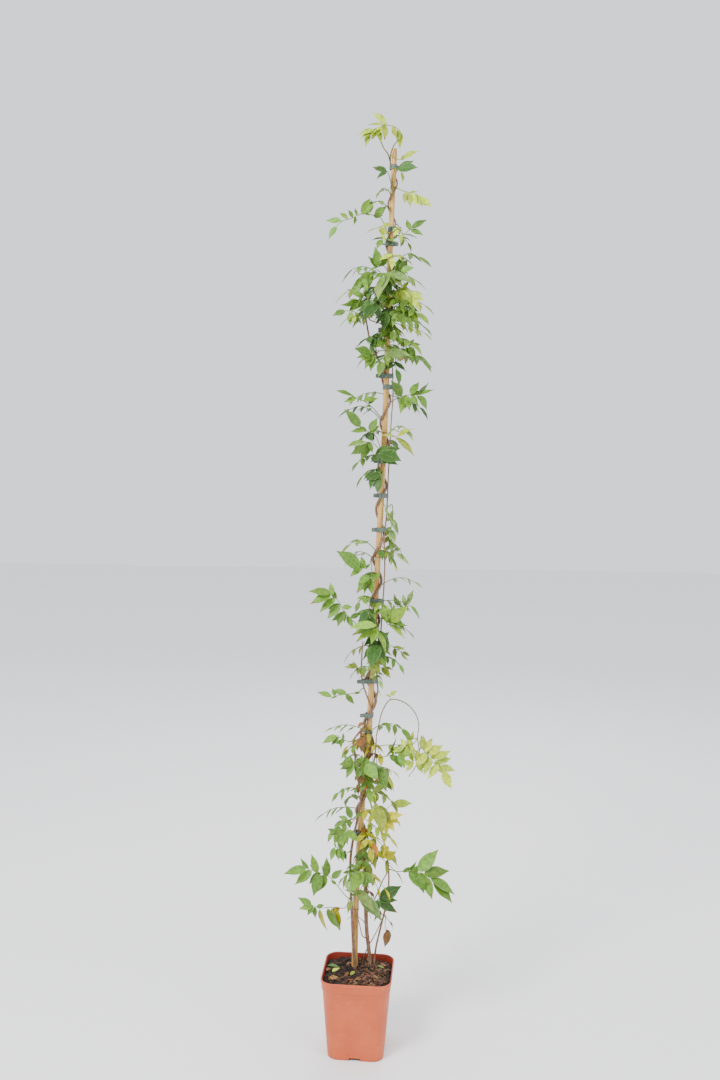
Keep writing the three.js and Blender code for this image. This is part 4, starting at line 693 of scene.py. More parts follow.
# The smaller leaves stand along their stalk from a first share of it, spread and droop at random
MORE_FIRST = 0.4
MORE_SHARES = (0.3, 0.7)
MORE_RISES = (0.5, 0.9)
MORE_ARCH = 7
MORE_END_DROP = 4
MORE_SPREAD = (48, 66)
MORE_DROOP = (0.15, 0.75)
MORE_TURN = 0.5
MORE_OUTWARD = 0.5
MORE_SIZE = (0.75, 1.15)
MORE_END_SIZE = 1.15
LEAST_STALK_STEPS = (6, 8)

# Smaller leaves that the solids leave out, by the piece that they belong to: height on the winding stem,
# direction seen from above (0 right, -90 front), reach, rise, pairs of leaflets, their length, colour.
# Those without a pair are bare stalks.
MORE_LEAVES = {
    "leaves_at_top_tie": [(2132, -60, 26, 12, 1, 26, "lime"), (2085, -150, 34, 8, 2, 20, "green")],
    "leaves_upper_left": [(2040, -140, 60, 26, 2, 32, "green"), (2015, -70, 36, -20, 2, 22, "lime")],
    "leaf_upper_right": [(1990, 40, 62, 0, 2, 24, "green")],
    "leaves_below_upper_tie": [
        (1950, -120, 40, 34, 2, 32, "green"), (1925, -30, 62, 20, 2, 36, "green"),
        (1912, 60, 48, 10, 2, 28, "green"), (1930, -95, 46, 10, 2, 32, "lime"),
    ],
    "leaves_dense_left": [
        (1885, -160, 84, 28, 3, 32, "green"), (1865, 170, 92, 6, 3, 34, "lime"),
        (1838, -145, 72, -10, 3, 36, "dark"), (1815, 160, 80, -6, 3, 30, "green"),
        (1860, -120, 66, 4, 3, 36, "dark"), (1800, -160, 108, -4, 3, 28, "lime"),
        (1835, 120, 66, 10, 3, 32, "green"), (1852, -135, 80, 2, 3, 32, "green"),
        (1826, -168, 74, -8, 3, 30, "green"),
    ],
    "leaves_dense_right": [
        (1880, -20, 74, 12, 3, 34, "fresh"), (1850, 10, 88, -8, 3, 32, "lime"),
        (1828, -40, 74, -14, 3, 36, "fresh"), (1805, 20, 82, -12, 3, 30, "fresh"),
        (1860, 60, 66, 8, 3, 32, "green"), (1790, -20, 92, -22, 3, 28, "lime"),
        (1842, -58, 84, -8, 3, 34, "green"), (1870, -8, 60, 2, 3, 30, "fresh"),
    ],
    "leaves_dense_front": [
        (1870, -85, 62, 10, 3, 36, "dark"), (1845, -65, 56, -8, 3, 34, "fresh"),
        (1822, -105, 58, -14, 3, 36, "dark"), (1795, -80, 54, -26, 3, 34, "green"),
        (1850, -130, 60, -12, 3, 34, "green"), (1888, -100, 62, 4, 3, 34, "green"),
        (1862, -94, 72, -6, 3, 34, "green"), (1812, -62, 66, -10, 3, 34, "green"),
    ],
    "leaves_at_third_tie": [(1785, -60, 44, -16, 2, 34, "green"), (1768, -120, 40, -12, 2, 34, "dark")],
    "leaves_mid_right": [
        (1742, -30, 66, 4, 3, 32, "fresh"), (1722, 20, 82, -10, 3, 34, "green"),
        (1735, 70, 56, 0, 2, 30, "green"),
    ],
    "leaves_mid_front": [
        (1735, -150, 70, 16, 3, 34, "dark"), (1712, -115, 50, -12, 2, 34, "green"),
        (1722, 165, 64, -6, 3, 30, "dark"), (1700, -70, 46, -18, 2, 34, "dark"),
    ],
    "leaf_right_of_tie": [(1620, -20, 76, -24, 3, 30, "dark"), (1600, 30, 62, 10, 3, 28, "green")],
    "leaf_left_of_tie": [(1618, 170, 80, 0, 3, 26, "green")],
    "leaves_second": [
        (1560, -165, 76, 28, 3, 30, "dark"), (1530, -140, 66, -6, 3, 36, "dark"),
        (1500, -100, 44, -14, 2, 36, "dark"), (1478, -150, 70, -14, 3, 28, "green"),
        (1446, -110, 44, -16, 2, 34, "dark"), (1520, -40, 58, 22, 2, 26, "pale"),
        (1440, 150, 46, -10, 2, 32, "green"), (1505, 80, 56, 0, 3, 28, "dark"),
    ],
    "leaf_hanging_pale": [
        (1375, -10, 36, -60, 4, 20, "pale"), (1330, 0, 34, -50, 3, 20, "lime"),
        (1290, 10, 42, -40, 3, 18, "pale"), (1262, -20, 34, -40, 3, 20, "lime"),
    ],
    "leaves_third_left": [
        (1245, -160, 66, 22, 2, 34, "green"), (1225, 165, 56, 10, 2, 28, "green"),
        (1180, -130, 44, 4, 2, 30, "green"),
    ],
    "leaves_third_right": [
        (1235, -30, 42, 6, 1, 36, "dark"), (1160, -10, 84, 16, 3, 24, "pale"),
        (1115, 0, 96, 0, 3, 34, "green"), (1100, -40, 66, -10, 2, 34, "green"),
        (1080, 30, 80, -30, 3, 28, "green"),
    ],
    "leaves_fourth_front": [
        (1105, -60, 42, 10, 2, 32, "fresh"), (1128, -130, 46, 0, 2, 30, "green"),
        (1090, -120, 52, 6, 2, 36, "green"), (1060, -85, 44, -22, 2, 40, "dark"),
        (1040, -60, 48, -30, 2, 36, "green"), (1075, 130, 60, 0, 3, 30, "green"),
    ],
    "leaves_fourth_sides": [
        (1010, -165, 56, -16, 2, 24, "olive"), (985, -30, 62, -10, 2, 26, "green"),
        (1000, 100, 46, -20, 2, 26, "olive"), (975, -100, 42, -6, 3, 24, "olive"),
        (950, -60, 44, -10, 2, 24, "pale"), (955, -150, 50, 0, 2, 24, "green"),
    ],
    "leaf_sixth_left": [(790, 160, 96, 6, 3, 26, "green"), (775, -150, 64, -4, 2, 28, "yellow")],
    "withered_leaves": [
        (800, -100, 30, -22, 1, 26, "brown"), (770, -60, 34, -18, 1, 28, "yellow"),
        (742, -120, 34, -34, 1, 30, "brown"), (812, -70, 22, -12, 1, 20, "yellow"),
        (785, -110, 20, -26, 1, 26, "yellow"), (760, -85, 18, -36, 1, 24, "brown"),
        (722, -70, 18, -34, 1, 26, "orange"), (700, -110, 18, -28, 1, 24, "brown"),
        (830, -120, 20, -20, 1, 20, "brown"), (880, -60, 26, 14, 0, 0, "olive"),
        (905, 150, 34, 20, 0, 0, "olive"),
    ],
    "leaves_seventh_front": [
        (760, -150, 66, 4, 3, 28, "green"), (735, -110, 46, -10, 2, 32, "green"),
        (700, -70, 50, -30, 2, 32, "green"), (725, 130, 56, 0, 2, 28, "olive"),
    ],
    "leaves_seventh_right": [
        (790, -30, 90, 26, 3, 28, "green"), (755, -10, 110, 4, 3, 30, "lime"),
        (720, -40, 74, -12, 2, 32, "lime"), (700, 20, 84, -10, 3, 28, "lime"),
    ],
    "leaves_eighth_right": [
        (640, -30, 66, 0, 2, 30, "olive"), (610, -50, 72, -16, 2, 34, "yellow"),
        (580, 0, 84, 8, 2, 30, "lime"), (655, 30, 60, 10, 2, 26, "green"),
        (565, -60, 60, -34, 1, 26, "orange"),
    ],
    "leaves_ninth_left": [
        (640, -165, 72, 12, 3, 26, "green"), (600, 175, 80, -10, 3, 28, "green"),
        (570, -150, 72, -14, 3, 30, "green"), (545, 165, 66, -26, 3, 26, "green"),
        (620, 120, 60, 0, 2, 28, "green"),
    ],
    "leaf_ninth_yellow": [(590, -25, 92, -50, 3, 30, "lime"), (575, -60, 66, -70, 2, 28, "olive")],
    "leaves_tenth_yellow": [(530, -20, 84, -76, 2, 32, "olive"), (520, -55, 62, -96, 2, 28, "yellow")],
    "leaves_low_front": [
        (560, -70, 60, -40, 2, 30, "yellow"), (550, -30, 78, -50, 2, 30, "olive"),
        (525, -95, 46, -60, 2, 32, "green"), (520, -140, 50, -70, 2, 28, "green"),
        (518, -80, 44, -110, 1, 36, "olive"), (440, -40, 64, -20, 1, 26, "yellow"),
        (400, -70, 58, -10, 1, 24, "brown"), (385, -125, 56, 8, 1, 26, "olive"),
        (350, -30, 66, -16, 1, 24, "brown"), (430, -150, 62, 14, 2, 24, "green"),
        (330, -80, 60, 20, 0, 0, "olive"), (470, -10, 70, 12, 1, 28, "green"),
        (300, -160, 52, 26, 0, 0, "olive"), (490, 80, 60, 10, 2, 28, "green"),
        (360, 60, 46, -14, 1, 26, "brown"),
    ],
}

# Colours of the other materials, in linear light
BARK_BROWN = (0.13, 0.055, 0.025)
BARK_GREY = (0.22, 0.14, 0.085)
BARK_RED = (0.17, 0.055, 0.022)
BARK_PALE = (0.36, 0.27, 0.19)
BAMBOO_PALE = (0.58, 0.37, 0.095)
BAMBOO_TAN = (0.42, 0.21, 0.04)
BAMBOO_ORANGE = (0.36, 0.12, 0.02)
BAMBOO_DARK = (0.10, 0.04, 0.015)
TAPE_DARK = (0.045, 0.07, 0.05)
TAPE_LIGHT = (0.095, 0.128, 0.102)
POT_DEEP = (0.46, 0.074, 0.014)
POT_LIGHT = (0.53, 0.095, 0.022)
POT_DUST = (0.60, 0.165, 0.06)
POT_FLECK = (0.30, 0.12, 0.08)
# Painted shade: the inside wall of the pot is coloured darker where shade falls in it
POT_INSIDE_PAINTED_SHADE = (0.25, 0.026, 0.010)

# Lines on a blade, as shares of its width and length: the rib in its middle and the slanting side veins
RIB_EDGES = (0.012, 0.035)
VEIN_SLANT = 0.42
VEIN_COUNT = 11
VEIN_EDGES = (0.03, 0.1)
VEIN_STRENGTH = 0.45
VEIN_LIGHT = (0.05, 0.08, 0.012)

# Floor and lights: place, aim, size in metres, power in watts
FLOOR_HALF = 12000
FLOOR_TONE = (0.9, 0.9, 0.9)
WORLD_TONE = (0.93, 0.95, 1)
WORLD_STRENGTH = 1.4
LIGHTS = [
    ("Key", (-2.0, -2.6, 4.0), (0, 0, 1.1), 1.6, 240),
    ("Fill", (2.8, -2.2, 2.0), (0, 0, 1.0), 2.4, 50),
    ("Back", (0.6, 3.0, 3.2), (0, 0, 1.2), 2.0, 60),
]


# Seeded numbers from 0 to 1, the same each time
def seeded(seed):
    state = seed
    while True:
        state = (state * RANDOM_FACTOR + RANDOM_STEP) % RANDOM_RANGE
        yield state / RANDOM_RANGE


def lerp(a, b, share):
    return a + (b - a) * share


def clamp(value, low=0.0, high=1.0):
    return min(max(value, low), high)


def blend(first, second, share):
    return tuple(lerp(a, b, share) for a, b in zip(first, second))


def smooth(low, high, value):
    share = clamp((value - low) / (high - low))
    return share * share * (3 - 2 * share)


def heading(turn):
    return Vector((math.cos(turn), math.sin(turn), 0))


# Where a rising run of places passes a height
def at_height(places, z):
    i = 0
    while i < len(places) - 2 and places[i + 1].z < z:
        i += 1
    low, high = places[i], places[i + 1]
    return low.lerp(high, (z - low.z) / (high.z - low.z))


# A smooth curve through points, centripetal Catmull-Rom, measured along its length
class Curve:
    def __init__(self, points):
        self.points = [Vector(p) for p in points]
        places = [self.point(i / CURVE_STEPS) for i in range(CURVE_STEPS + 1)]
        self.lengths = [0.0]
        for low, high in zip(places, places[1:]):
            self.lengths.append(self.lengths[-1] + (high - low).length)

    def point(self, t):
        points = self.points
        last = len(points) - 1
        i = min(int(math.floor(last * t)), last - 1)
        weight = last * t - i
        p1, p2 = points[i], points[i + 1]
        p0 = points[i - 1] if i > 0 else 2 * p1 - p2
        p3 = points[i + 2] if i + 2 <= last else 2 * p2 - p1
        middle = max((p2 - p1).length ** 0.5, TINY)
        before = max((p1 - p0).length ** 0.5, TINY)
        after = max((p3 - p2).length ** 0.5, TINY)
        start = ((p1 - p0) / before - (p2 - p0) / (before + middle) + (p2 - p1) / middle) * middle
        end = ((p2 - p1) / middle - (p3 - p1) / (middle + after) + (p3 - p2) / after) * middle
        square = 3 * (p2 - p1) - 2 * start - end
        cube = 2 * (p1 - p2) + start + end
        return p1 + start * weight + square * weight ** 2 + cube * weight ** 3

    def time_at(self, share):
        target = share * self.lengths[-1]
        i = 0
        while i < CURVE_STEPS - 1 and self.lengths[i + 1] <= target:
            i += 1
        step = self.lengths[i + 1] - self.lengths[i]
        return (i + (target - self.lengths[i]) / step) / CURVE_STEPS

    def at(self, share):
        return self.point(self.time_at(share))

    def tangent_at(self, share):
        t = self.time_at(share)
        return (self.point(min(t + TINY, 1)) - self.point(max(t - TINY, 0))).normalized()

    def spaced(self, count):
        return [self.at(i / count) for i in range(count + 1)]


# A mesh gathered part by part: corners, faces, colours and places across and along a blade
class Shape:
    def __init__(self):
        self.points = []
        self.faces = []
        self.tones = []
        self.blade_places = []

    def add(self, point, tone=(1, 1, 1), blade_place=(0, 0)):
        self.points.append(point)
        self.tones.append(tone)
        self.blade_places.append(blade_place)
        return len(self.points) - 1

    def join(self, rings):
        count = len(rings[0])
        for low, high in zip(rings, rings[1:]):
            for j in range(count):
                k = (j + 1) % count
                self.faces.append((low[j], low[k], high[k], high[j]))

    def skin(self, rings):
        self.join(rings)
        self.faces.append(tuple(reversed(rings[0])))
        self.faces.append(tuple(rings[-1]))

    def make(self, name, material, nodes=(), is_smooth=True):
        mesh = bpy.data.meshes.new(name)
        mesh.from_pydata([p * MM for p in self.points], [], self.faces)
        tones = mesh.color_attributes.new("Tone", "FLOAT_COLOR", "POINT")
        tones.data.foreach_set("color", [part for tone in self.tones for part in (*tone, 1)])
        places = mesh.uv_layers.new(name="Blade")
        corners = [part for loop in mesh.loops for part in self.blade_places[loop.vertex_index]]
        places.data.foreach_set("uv", corners)
        mesh.polygons.foreach_set("use_smooth", [is_smooth] * len(mesh.polygons))
        mesh.set_sharp_from_angle(angle=SHARP_ANGLE)
        mesh.materials.append(material)
        mesh.update()
        piece = bpy.data.objects.new(name, mesh)
        bpy.context.scene.collection.objects.link(piece)
        if nodes:
            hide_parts(*nodes)
            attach(piece, BODY)
        return piece


# A round stem through places, its radius and colour given at each place
def add_tube(shape, places, radii, sides, tones):
    across = Vector((1, 0, 0))
    rings = []
    for i, place in enumerate(places):
        along = (places[min(i + 1, len(places) - 1)] - places[max(i - 1, 0)]).normalized()
        across = (across - along * across.dot(along)).normalized()
        side = along.cross(across)
        ring = []
        for j in range(sides):
            turn = math.tau * j / sides
            offset = across * math.cos(turn) + side * math.sin(turn)
            ring.append(shape.add(place + offset * radii[i], tones[i]))
        rings.append(ring)
    shape.skin(rings)


# Cane
CANE_CURVE = Curve(CANE_WAY)
CANE_PLACES = [CANE_CURVE.point(i / CANE_PLACE_STEPS) for i in range(CANE_PLACE_STEPS + 1)]


def cane_at(z):
    return at_height(CANE_PLACES, z)


def cane_radius(z):
    share = clamp((z - CANE_FOOT) / (CANE_TOP - CANE_FOOT))
    return lerp(CANE_RADIUS, CANE_TOP_RADIUS, share ** CANE_TAPER)


def nearest_joint(z):
    return min(CANE_JOINTS, key=lambda joint: abs(joint - z))


# A ridge at each joint with a shallow groove under it
def cane_swell(z):
    above = z - nearest_joint(z)
    ridge = CANE_JOINT_SWELL * max(0, 1 - (abs(above) / CANE_JOINT_HALF) ** 2)
    into_groove = (above + CANE_GROOVE["below"]) / CANE_GROOVE["half"]
    return ridge - CANE_GROOVE["depth"] * math.exp(-into_groove ** 2)


def make_cane(material):
    shape = Shape()
    heights = {CANE_FOOT, CANE_TOP - CANE_BEVEL["height"], CANE_TOP}
    heights.update(range(CANE_FOOT + CANE_STEP, CANE_TOP - CANE_STEP, CANE_STEP))
    heights.update(joint + step for joint in CANE_JOINTS for step in CANE_JOINT_STEPS)
    places, radii, tones = [], [], []
    for z in sorted(heights):
        wobble = CANE_WOBBLE[0] * noise.noise(Vector((z * CANE_WOBBLE[1], 3, 5)))
        places.append(cane_at(z) + Vector((wobble, wobble, 0)))
        radii.append(cane_radius(z) + cane_swell(z) - (CANE_BEVEL["depth"] if z == CANE_TOP else 0))
        tones.append((math.exp(-((z - nearest_joint(z)) / CANE_RING_HALF) ** 2), 0, 0))
    add_tube(shape, places, radii, CANE_SIDES, tones)
    shape.make("bamboo_cane_fine", material, ["bamboo_cane"])


# Rounded square seen from above, turned with the pot
def rounded_square(z, half, corner, corner_steps, side_steps):
    turned = Matrix.Rotation(POT_TURN, 3, "Z")

    def corner_point(quarter, step):
        middle = (quarter + 0.5) * math.pi / 2
        turn = (quarter + step / corner_steps) * math.pi / 2
        centre = [math.copysign(half - corner, side) for side in (math.cos(middle), math.sin(middle))]
        return turned @ (Vector((*centre, z)) + corner * heading(turn))

    points = []
    for quarter in range(4):
        points.extend(corner_point(quarter, step) for step in range(corner_steps + 1))
        end, start = points[-1], corner_point(quarter + 1, 0)
        points.extend(end.lerp(start, step / side_steps) for step in range(1, side_steps))
    return points


def make_pot(material):
    shape = Shape()
    rings = []
    # The tone's first part marks the inside wall, which the material paints darker as painted shade
    for is_shaded_inside, levels in enumerate((POT_OUTSIDE, POT_INSIDE)):
        for z, half, corner in levels:
            ring = rounded_square(z, half, corner, POT_CORNER_STEPS, POT_SIDE_STEPS)
            rings.append([shape.add(p, (is_shaded_inside, 0, 0)) for p in ring])
    shape.skin(rings)
    cut_notches(shape.make("pot_fine", material, ["pot"]))


# The drain notches at the foot of the four sides
def cut_notches(pot):
    size = Vector((NOTCH["depth"], NOTCH["width"], NOTCH["height"] * 2)) / 2
    cutters = []
    for side in range(4):
        shape = Shape()
        turned = Matrix.Rotation(POT_TURN + side * math.pi / 2, 3, "Z")
        rings = []
        for z in (-1, 1):
            corners = [Vector((x * size.x + NOTCH["reach"], y * size.y, z * size.z)) for x, y in SQUARE]
            rings.append([shape.add(turned @ corner) for corner in corners])
        shape.skin(rings)
        cutter = shape.make("notch", pot.data.materials[0])
        cutters.append(cutter)
        cut = pot.modifiers.new("Notch", "BOOLEAN")
        cut.object = cutter
    graph = bpy.context.evaluated_depsgraph_get()
    mesh = bpy.data.meshes.new_from_object(pot.evaluated_get(graph))
    mesh.set_sharp_from_angle(angle=SHARP_ANGLE)
    pot.modifiers.clear()
    pot.data = mesh
    for cutter in cutters:
        bpy.data.objects.remove(cutter)


# Soil
def soil_height(x, y):
    slow, quick = SOIL_WAVES
    height = SOIL_TOP + slow[0] * math.sin(x * slow[1] + 1) * math.cos(y * slow[2])
    return height + quick[0] * math.sin(x * quick[1] - y * quick[2])


def soil_relief(x, y):
    bumps = Vector((x * SOIL_LUMPS["scale"], y * SOIL_LUMPS["scale"], SOIL_LUMPS["level"]))
    lumps = noise.fractal(bumps, SOIL_LUMPS["roughness"], SOIL_LUMPS["spacing"], SOIL_LUMPS["layers"])
    away = (x - SOIL_HEAP["x"]) ** 2 + (y - SOIL_HEAP["y"]) ** 2
    heap = SOIL_HEAP["height"] * math.exp(-away / SOIL_HEAP["spread"] ** 2)
    return SOIL_FILL + SOIL_LUMPS["height"] * lumps + heap


def on_soil(x, y):
    return Vector((x, y, soil_height(x, y) + soil_relief(x, y)))


def soil_tone(place):
    least, further, scale = SOIL_MOTTLE
    mottle = least + further * abs(noise.noise(place * scale))
    return tuple(part * mottle for part in SOIL_TONE)


def make_soil(material):
    shape = Shape()
    edge = rounded_square(SOIL_TOP - SOIL_EDGE_DEPTH, *SOIL_WALL, SOIL_CORNER_STEPS, SOIL_SIDE_STEPS)
    rings = [rounded_square(SOIL_BOTTOM, *SOIL_FOOT, SOIL_CORNER_STEPS, SOIL_SIDE_STEPS), edge]
    for ring in range(SOIL_RINGS):
        share = 1 - ring / SOIL_RINGS
        drop = SOIL_EDGE_DROP * smooth(SOIL_EDGE_START, 1, share)
        rings.append([on_soil(p.x * share, p.y * share) - Vector((0, 0, drop)) for p in edge])
    shape.skin([[shape.add(p, soil_tone(p)) for p in ring] for ring in rings])
    add_chips(shape)
    shape.make("soil_fine", material, ["soil"], is_smooth=False)


# Bark chips and crumbs of peat lying on the soil, some stood on end
def add_chips(shape):
    random = seeded(SEEDS["chips"])
    reach = SOIL_WALL[0] - CHIP_INSET
    turned = Matrix.Rotation(POT_TURN, 3, "Z")
    for i in range(CHIPS + CRUMBS):
        place = turned @ Vector((reach * (2 * next(random) - 1), reach * (2 * next(random) - 1), 0))
        is_chip = i < CHIPS
        if is_chip:
            long = CHIP_LENGTH[0] + CHIP_LENGTH[1] * next(random) ** 2
        else:
            long = CRUMB_LENGTH[0] + CRUMB_LENGTH[1] * next(random)
        wide = long * (CHIP_WIDTH[0] + CHIP_WIDTH[1] * next(random))
        size = Vector((long, wide, long * (CHIP_THICKNESS if is_chip else CRUMB_THICKNESS))) / 2
        tilt = CHIP_TILT if is_chip else CRUMB_TILT
        pose = Matrix.Rotation(math.tau * next(random), 3, "Z")
        for axis in ("X", "Y"):
            pose = pose @ Matrix.Rotation(tilt * (next(random) - 0.5), 3, axis)
        shade = CHIP_TONES[int(next(random) * len(CHIP_TONES))]
        # Chips grow darker towards the left back and lighter towards the right front
        dryness = lerp(*CHIP_TONE_ACROSS, smooth(-CHIP_TONE_ACROSS_HALF, CHIP_TONE_ACROSS_HALF, place.x - 0.5 * place.y))
        shade = tuple(part * dryness * (CHIP_SHADES[0] + CHIP_SHADES[1] * next(random)) for part in shade)
        if abs(place.x) + abs(place.y) > SQUARE_REACH * reach:
            continue
        lift = size.z * (CHIP_LIFT[0] + CHIP_LIFT[1] * next(random))
        add_chip(shape, on_soil(place.x, place.y) + Vector((0, 0, lift)), size, pose, shade, random)


# One flat chip with an uneven outline
def add_chip(shape, base, size, pose, shade, random):
    rings = []
    for z in (-1, 1):
        ring = []
        for turn in range(CHIP_CORNERS):
            angle = math.tau * turn / CHIP_CORNERS
            out = CHIP_CORNER_REACH[0] + CHIP_CORNER_REACH[1] * next(random)
            corner = Vector((size.x * out * math.cos(angle), size.y * out * math.sin(angle), size.z * z))
            ring.append(shape.add(base + pose @ corner, shade))
        rings.append(ring)
    shape.skin(rings)


# Stems
def winding_turn(z):
    k = 0
    while k < len(FRONT_TURNS) - 2 and FRONT_TURNS[k + 1] < z:
        k += 1
    share = (z - FRONT_TURNS[k]) / (FRONT_TURNS[k + 1] - FRONT_TURNS[k])
    return math.tau * (k + share) - math.pi / 2


def winding_radius(z):
    share = (z - WINDING_START) / (WINDING_END - WINDING_START)
    return lerp(WINDING_RADII[0], WINDING_RADII[1], share)


def winding_at(z):
    reach = cane_radius(z) + CANE_JOINT_SWELL + winding_radius(z) + GAP + WINDING_SAG
    turn = winding_turn(z)
    return cane_at(z) + Vector((reach * math.cos(turn), reach * math.sin(turn), 0))


def main_route():
    places = [Vector(p) for p in MAIN_FOOT]
    radii = [MAIN_FOOT_RADIUS] * len(places)
    for low, high in zip(FRONT_TURNS, FRONT_TURNS[1:]):
        for step in range(WINDING_STEPS):
            z = lerp(low, high, step / WINDING_STEPS)
            if WINDING_START <= z <= WINDING_END:
                places.append(winding_at(z))
                radii.append(winding_radius(z))
    return places, radii


# Keeps a stem's places clear of the cane
def clear_of_cane(place, radius):
    middle = cane_at(place.z)
    outward = Vector((place.x - middle.x, place.y - middle.y, 0))
    least = cane_radius(place.z) + CANE_JOINT_SWELL + radius + CANE_CLEARANCE
    if outward.length < least and place.z < CANE_TOP:
        return middle + outward.normalized() * least
    return place


def stem_route(routes, way, radii, from_main=None, grows_from=None, foot=False):
    points = [Vector(p) for p in way]
    if from_main:
        points.insert(0, winding_at(from_main))
    if grows_from:
        before, end = routes[grows_from][0][-2:]
        along = (end - before).normalized()
        points = [end + along * reach for reach in SHOOT_START] + points
    curve = Curve(points)
    places = curve.spaced(max(4, round(curve.lengths[-1] / STEM_STEP)))
    if foot:
        first = next(i for i, p in enumerate(places) if p.z > POT_HEIGHT)
        places = points[:2] + places[first:]
    sizes = [lerp(radii[0], radii[1], i / (len(places) - 1)) for i in range(len(places))]
    return [clear_of_cane(p, size) for p, size in zip(places, sizes)], sizes


def all_routes():
    routes = {"vine": main_route()}
    for part in STEMS:
        facts = {key: value for key, value in part.items() if key != "name"}
        routes[part["name"]] = stem_route(routes, **facts)
    for name, part in SHOOTS.items():
        routes[name] = stem_route(routes, **part)
    return routes


ROUTES = all_routes()


# A finer run of places along a stem, with small swellings, tapered at its free end
def add_stem(shape, name, tone=(0, 0, 0)):
    places, radii = ROUTES[name]
    curve = Curve(places)
    last = len(places) - 1
    fine_places, fine_radii = [], []
    for i in range(last * STEM_FINENESS + 1):
        at = i / STEM_FINENESS
        low = min(int(at), last - 1)
        place = curve.point(at / last)
        swelling = STEM_FULLNESS
        for depth, scale in STEM_SWELLINGS:
            swelling += depth * noise.noise(place * scale)
        fine_places.append(place)
        fine_radii.append(lerp(radii[low], radii[low + 1], at - low) * swelling)
    fine_radii[-1] *= STEM_TIP
    add_tube(shape, fine_places, fine_radii, STEM_SIDES, [tone] * len(fine_places))


def make_stems(material):
    shape = Shape()
    for name in ["vine"] + [part["name"] for part in STEMS]:
        add_stem(shape, name)
    shape.make("vine_stems_fine", material, ["vine_stems"])


# Ties: the band follows the outline of everything that it holds
def convex_outline(points):
    def half(ordered):
        chain = []
        for p in ordered:
            while len(chain) > 1:
                a, b = chain[-2:]
                if (b.x - a.x) * (p.y - a.y) - (b.y - a.y) * (p.x - a.x) > 0:
                    break
                chain.pop()
            chain.append(p)
        return chain[:-1]
    ordered = sorted(points, key=lambda p: (p.x, p.y))
    return half(ordered) + half(ordered[::-1])


def held_circles(z):
    middle = cane_at(z)
    circles = [(middle.x, middle.y, cane_radius(z) + CANE_JOINT_SWELL)]
    held = ["vine", "shoot", "brown_shoot"] + [part["name"] for part in STEMS]
    for places, radii in (ROUTES[name] for name in held):
        for low, high, radius in zip(places, places[1:], radii):
            share = (z - low.z) / (high.z - low.z)
            if not 0 <= share <= 1:
                continue
            p = low.lerp(high, share)
            steepness = abs(high.z - low.z) / (high - low).length
            if math.hypot(p.x - middle.x, p.y - middle.y) < TIE_REACH:
                circles.append((p.x, p.y, radius / max(steepness, LEAST_STEEPNESS)))
    return circles


# The outline of the band walked round in even steps, so that every ring has the same count
def band_outline(circles, spare):
    points = []
    for x, y, radius in circles:
        reach = radius + spare
        for j in range(BAND_SIDES):
            turn = math.tau * (j + 0.5) / BAND_SIDES
            points.append(Vector((x + reach * math.cos(turn), y + reach * math.sin(turn), 0)))
    return even_steps(convex_outline(points), BAND_POINTS)


def even_steps(outline, count):
    closed = outline + outline[:1]
    lengths = [0.0]
    for low, high in zip(closed, closed[1:]):
        lengths.append(lengths[-1] + (high - low).length)
    steps = []
    i = 0
    for k in range(count):
        target = lengths[-1] * k / count
        while lengths[i + 1] < target:
            i += 1
        steps.append(closed[i].lerp(closed[i + 1], (target - lengths[i]) / (lengths[i + 1] - lengths[i])))
    return steps


def make_tie(material, index, z, flap, tail=FLAP["length"]):
    shape = Shape()
    circles = [c for share in TIE_LEVELS for c in held_circles(z + share * TIE_HEIGHT)]
    outer = band_outline(circles, GAP + TIE_THICKNESS)
    inner = band_outline(circles, GAP)
    low, high = z - TIE_HEIGHT / 2, z + TIE_HEIGHT / 2
    levels = [low, low + BAND_BEVEL, z, high - BAND_BEVEL, high]
    rings = [[shape.add(Vector((p.x, p.y, level))) for p in outer] for level in levels]
    rings += [[shape.add(Vector((p.x, p.y, level))) for p in inner] for level in levels[::-1]]
    shape.join(rings + rings[:1])
    outward = heading(math.radians(flap))
    edge = max(outer, key=lambda p: p.dot(outward))
    add_flap(shape, Vector((edge.x, edge.y, z)), outward, tail, index)
    shape.make(f"tie_{index + 1:02d}_fine", material, [f"tie_{index + 1:02d}"])


# The two ends of the tape, pressed together, curling a little
def add_flap(shape, edge, outward, tail, index):
    side = UP.cross(outward)
    curl = (1 if index % 2 else -1) * FLAP["curl"]
    rings = []
    for step in range(FLAP_STEPS + 1):
        share = step / FLAP_STEPS
        middle = edge + outward * lerp(-FLAP["sunk"], tail, share) + side * curl * share ** 2 * tail
        half_height = FLAP["height"] / 2 * (1 - FLAP["taper"] * share)
        ring = []
        for across, up in SQUARE:
            ring.append(shape.add(middle + side * (across * FLAP["thickness"] / 2) + UP * (up * half_height)))
        rings.append(ring)
    shape.skin(rings)


# Leaves

# The way that a blade points and the way that its upper face looks, as in the solid
def blade_pose(blade, stalk_along, random):
    share, direction, _, shown = blade[:4]
    angle = math.radians(direction)
    flat = Vector((math.cos(angle), 0, math.sin(angle)))
    drawn = (1 if flat.z >= 0 else -1) * LEAN_BACK + LEAN_SPREAD * (next(random) - 0.5)
    followed = clamp(math.degrees(math.asin(clamp(stalk_along.y, -1, 1))), -LEAN_MOST, LEAN_MOST)
    if len(blade) > 4:
        lean = math.radians(blade[4])
    else:
        lean = math.radians(followed if share == 1 else drawn)
    along = flat * math.cos(lean) - FRONT * math.sin(lean)
    face = (FRONT - along * FRONT.dot(along)).normalized()
    roll = max(math.radians(LEAST_ROLL), math.acos(min(1, shown / BLADE_WIDTH)))
    upwards = UP if share == 1 else stalk_along * (-1 if stalk_along.z < 0 else 1)
    faces = [Matrix.Rotation(turn, 3, along) @ face for turn in (roll, -roll)]
    return along, max(faces, key=lambda way: way.dot(upwards)), 1 / math.cos(lean)


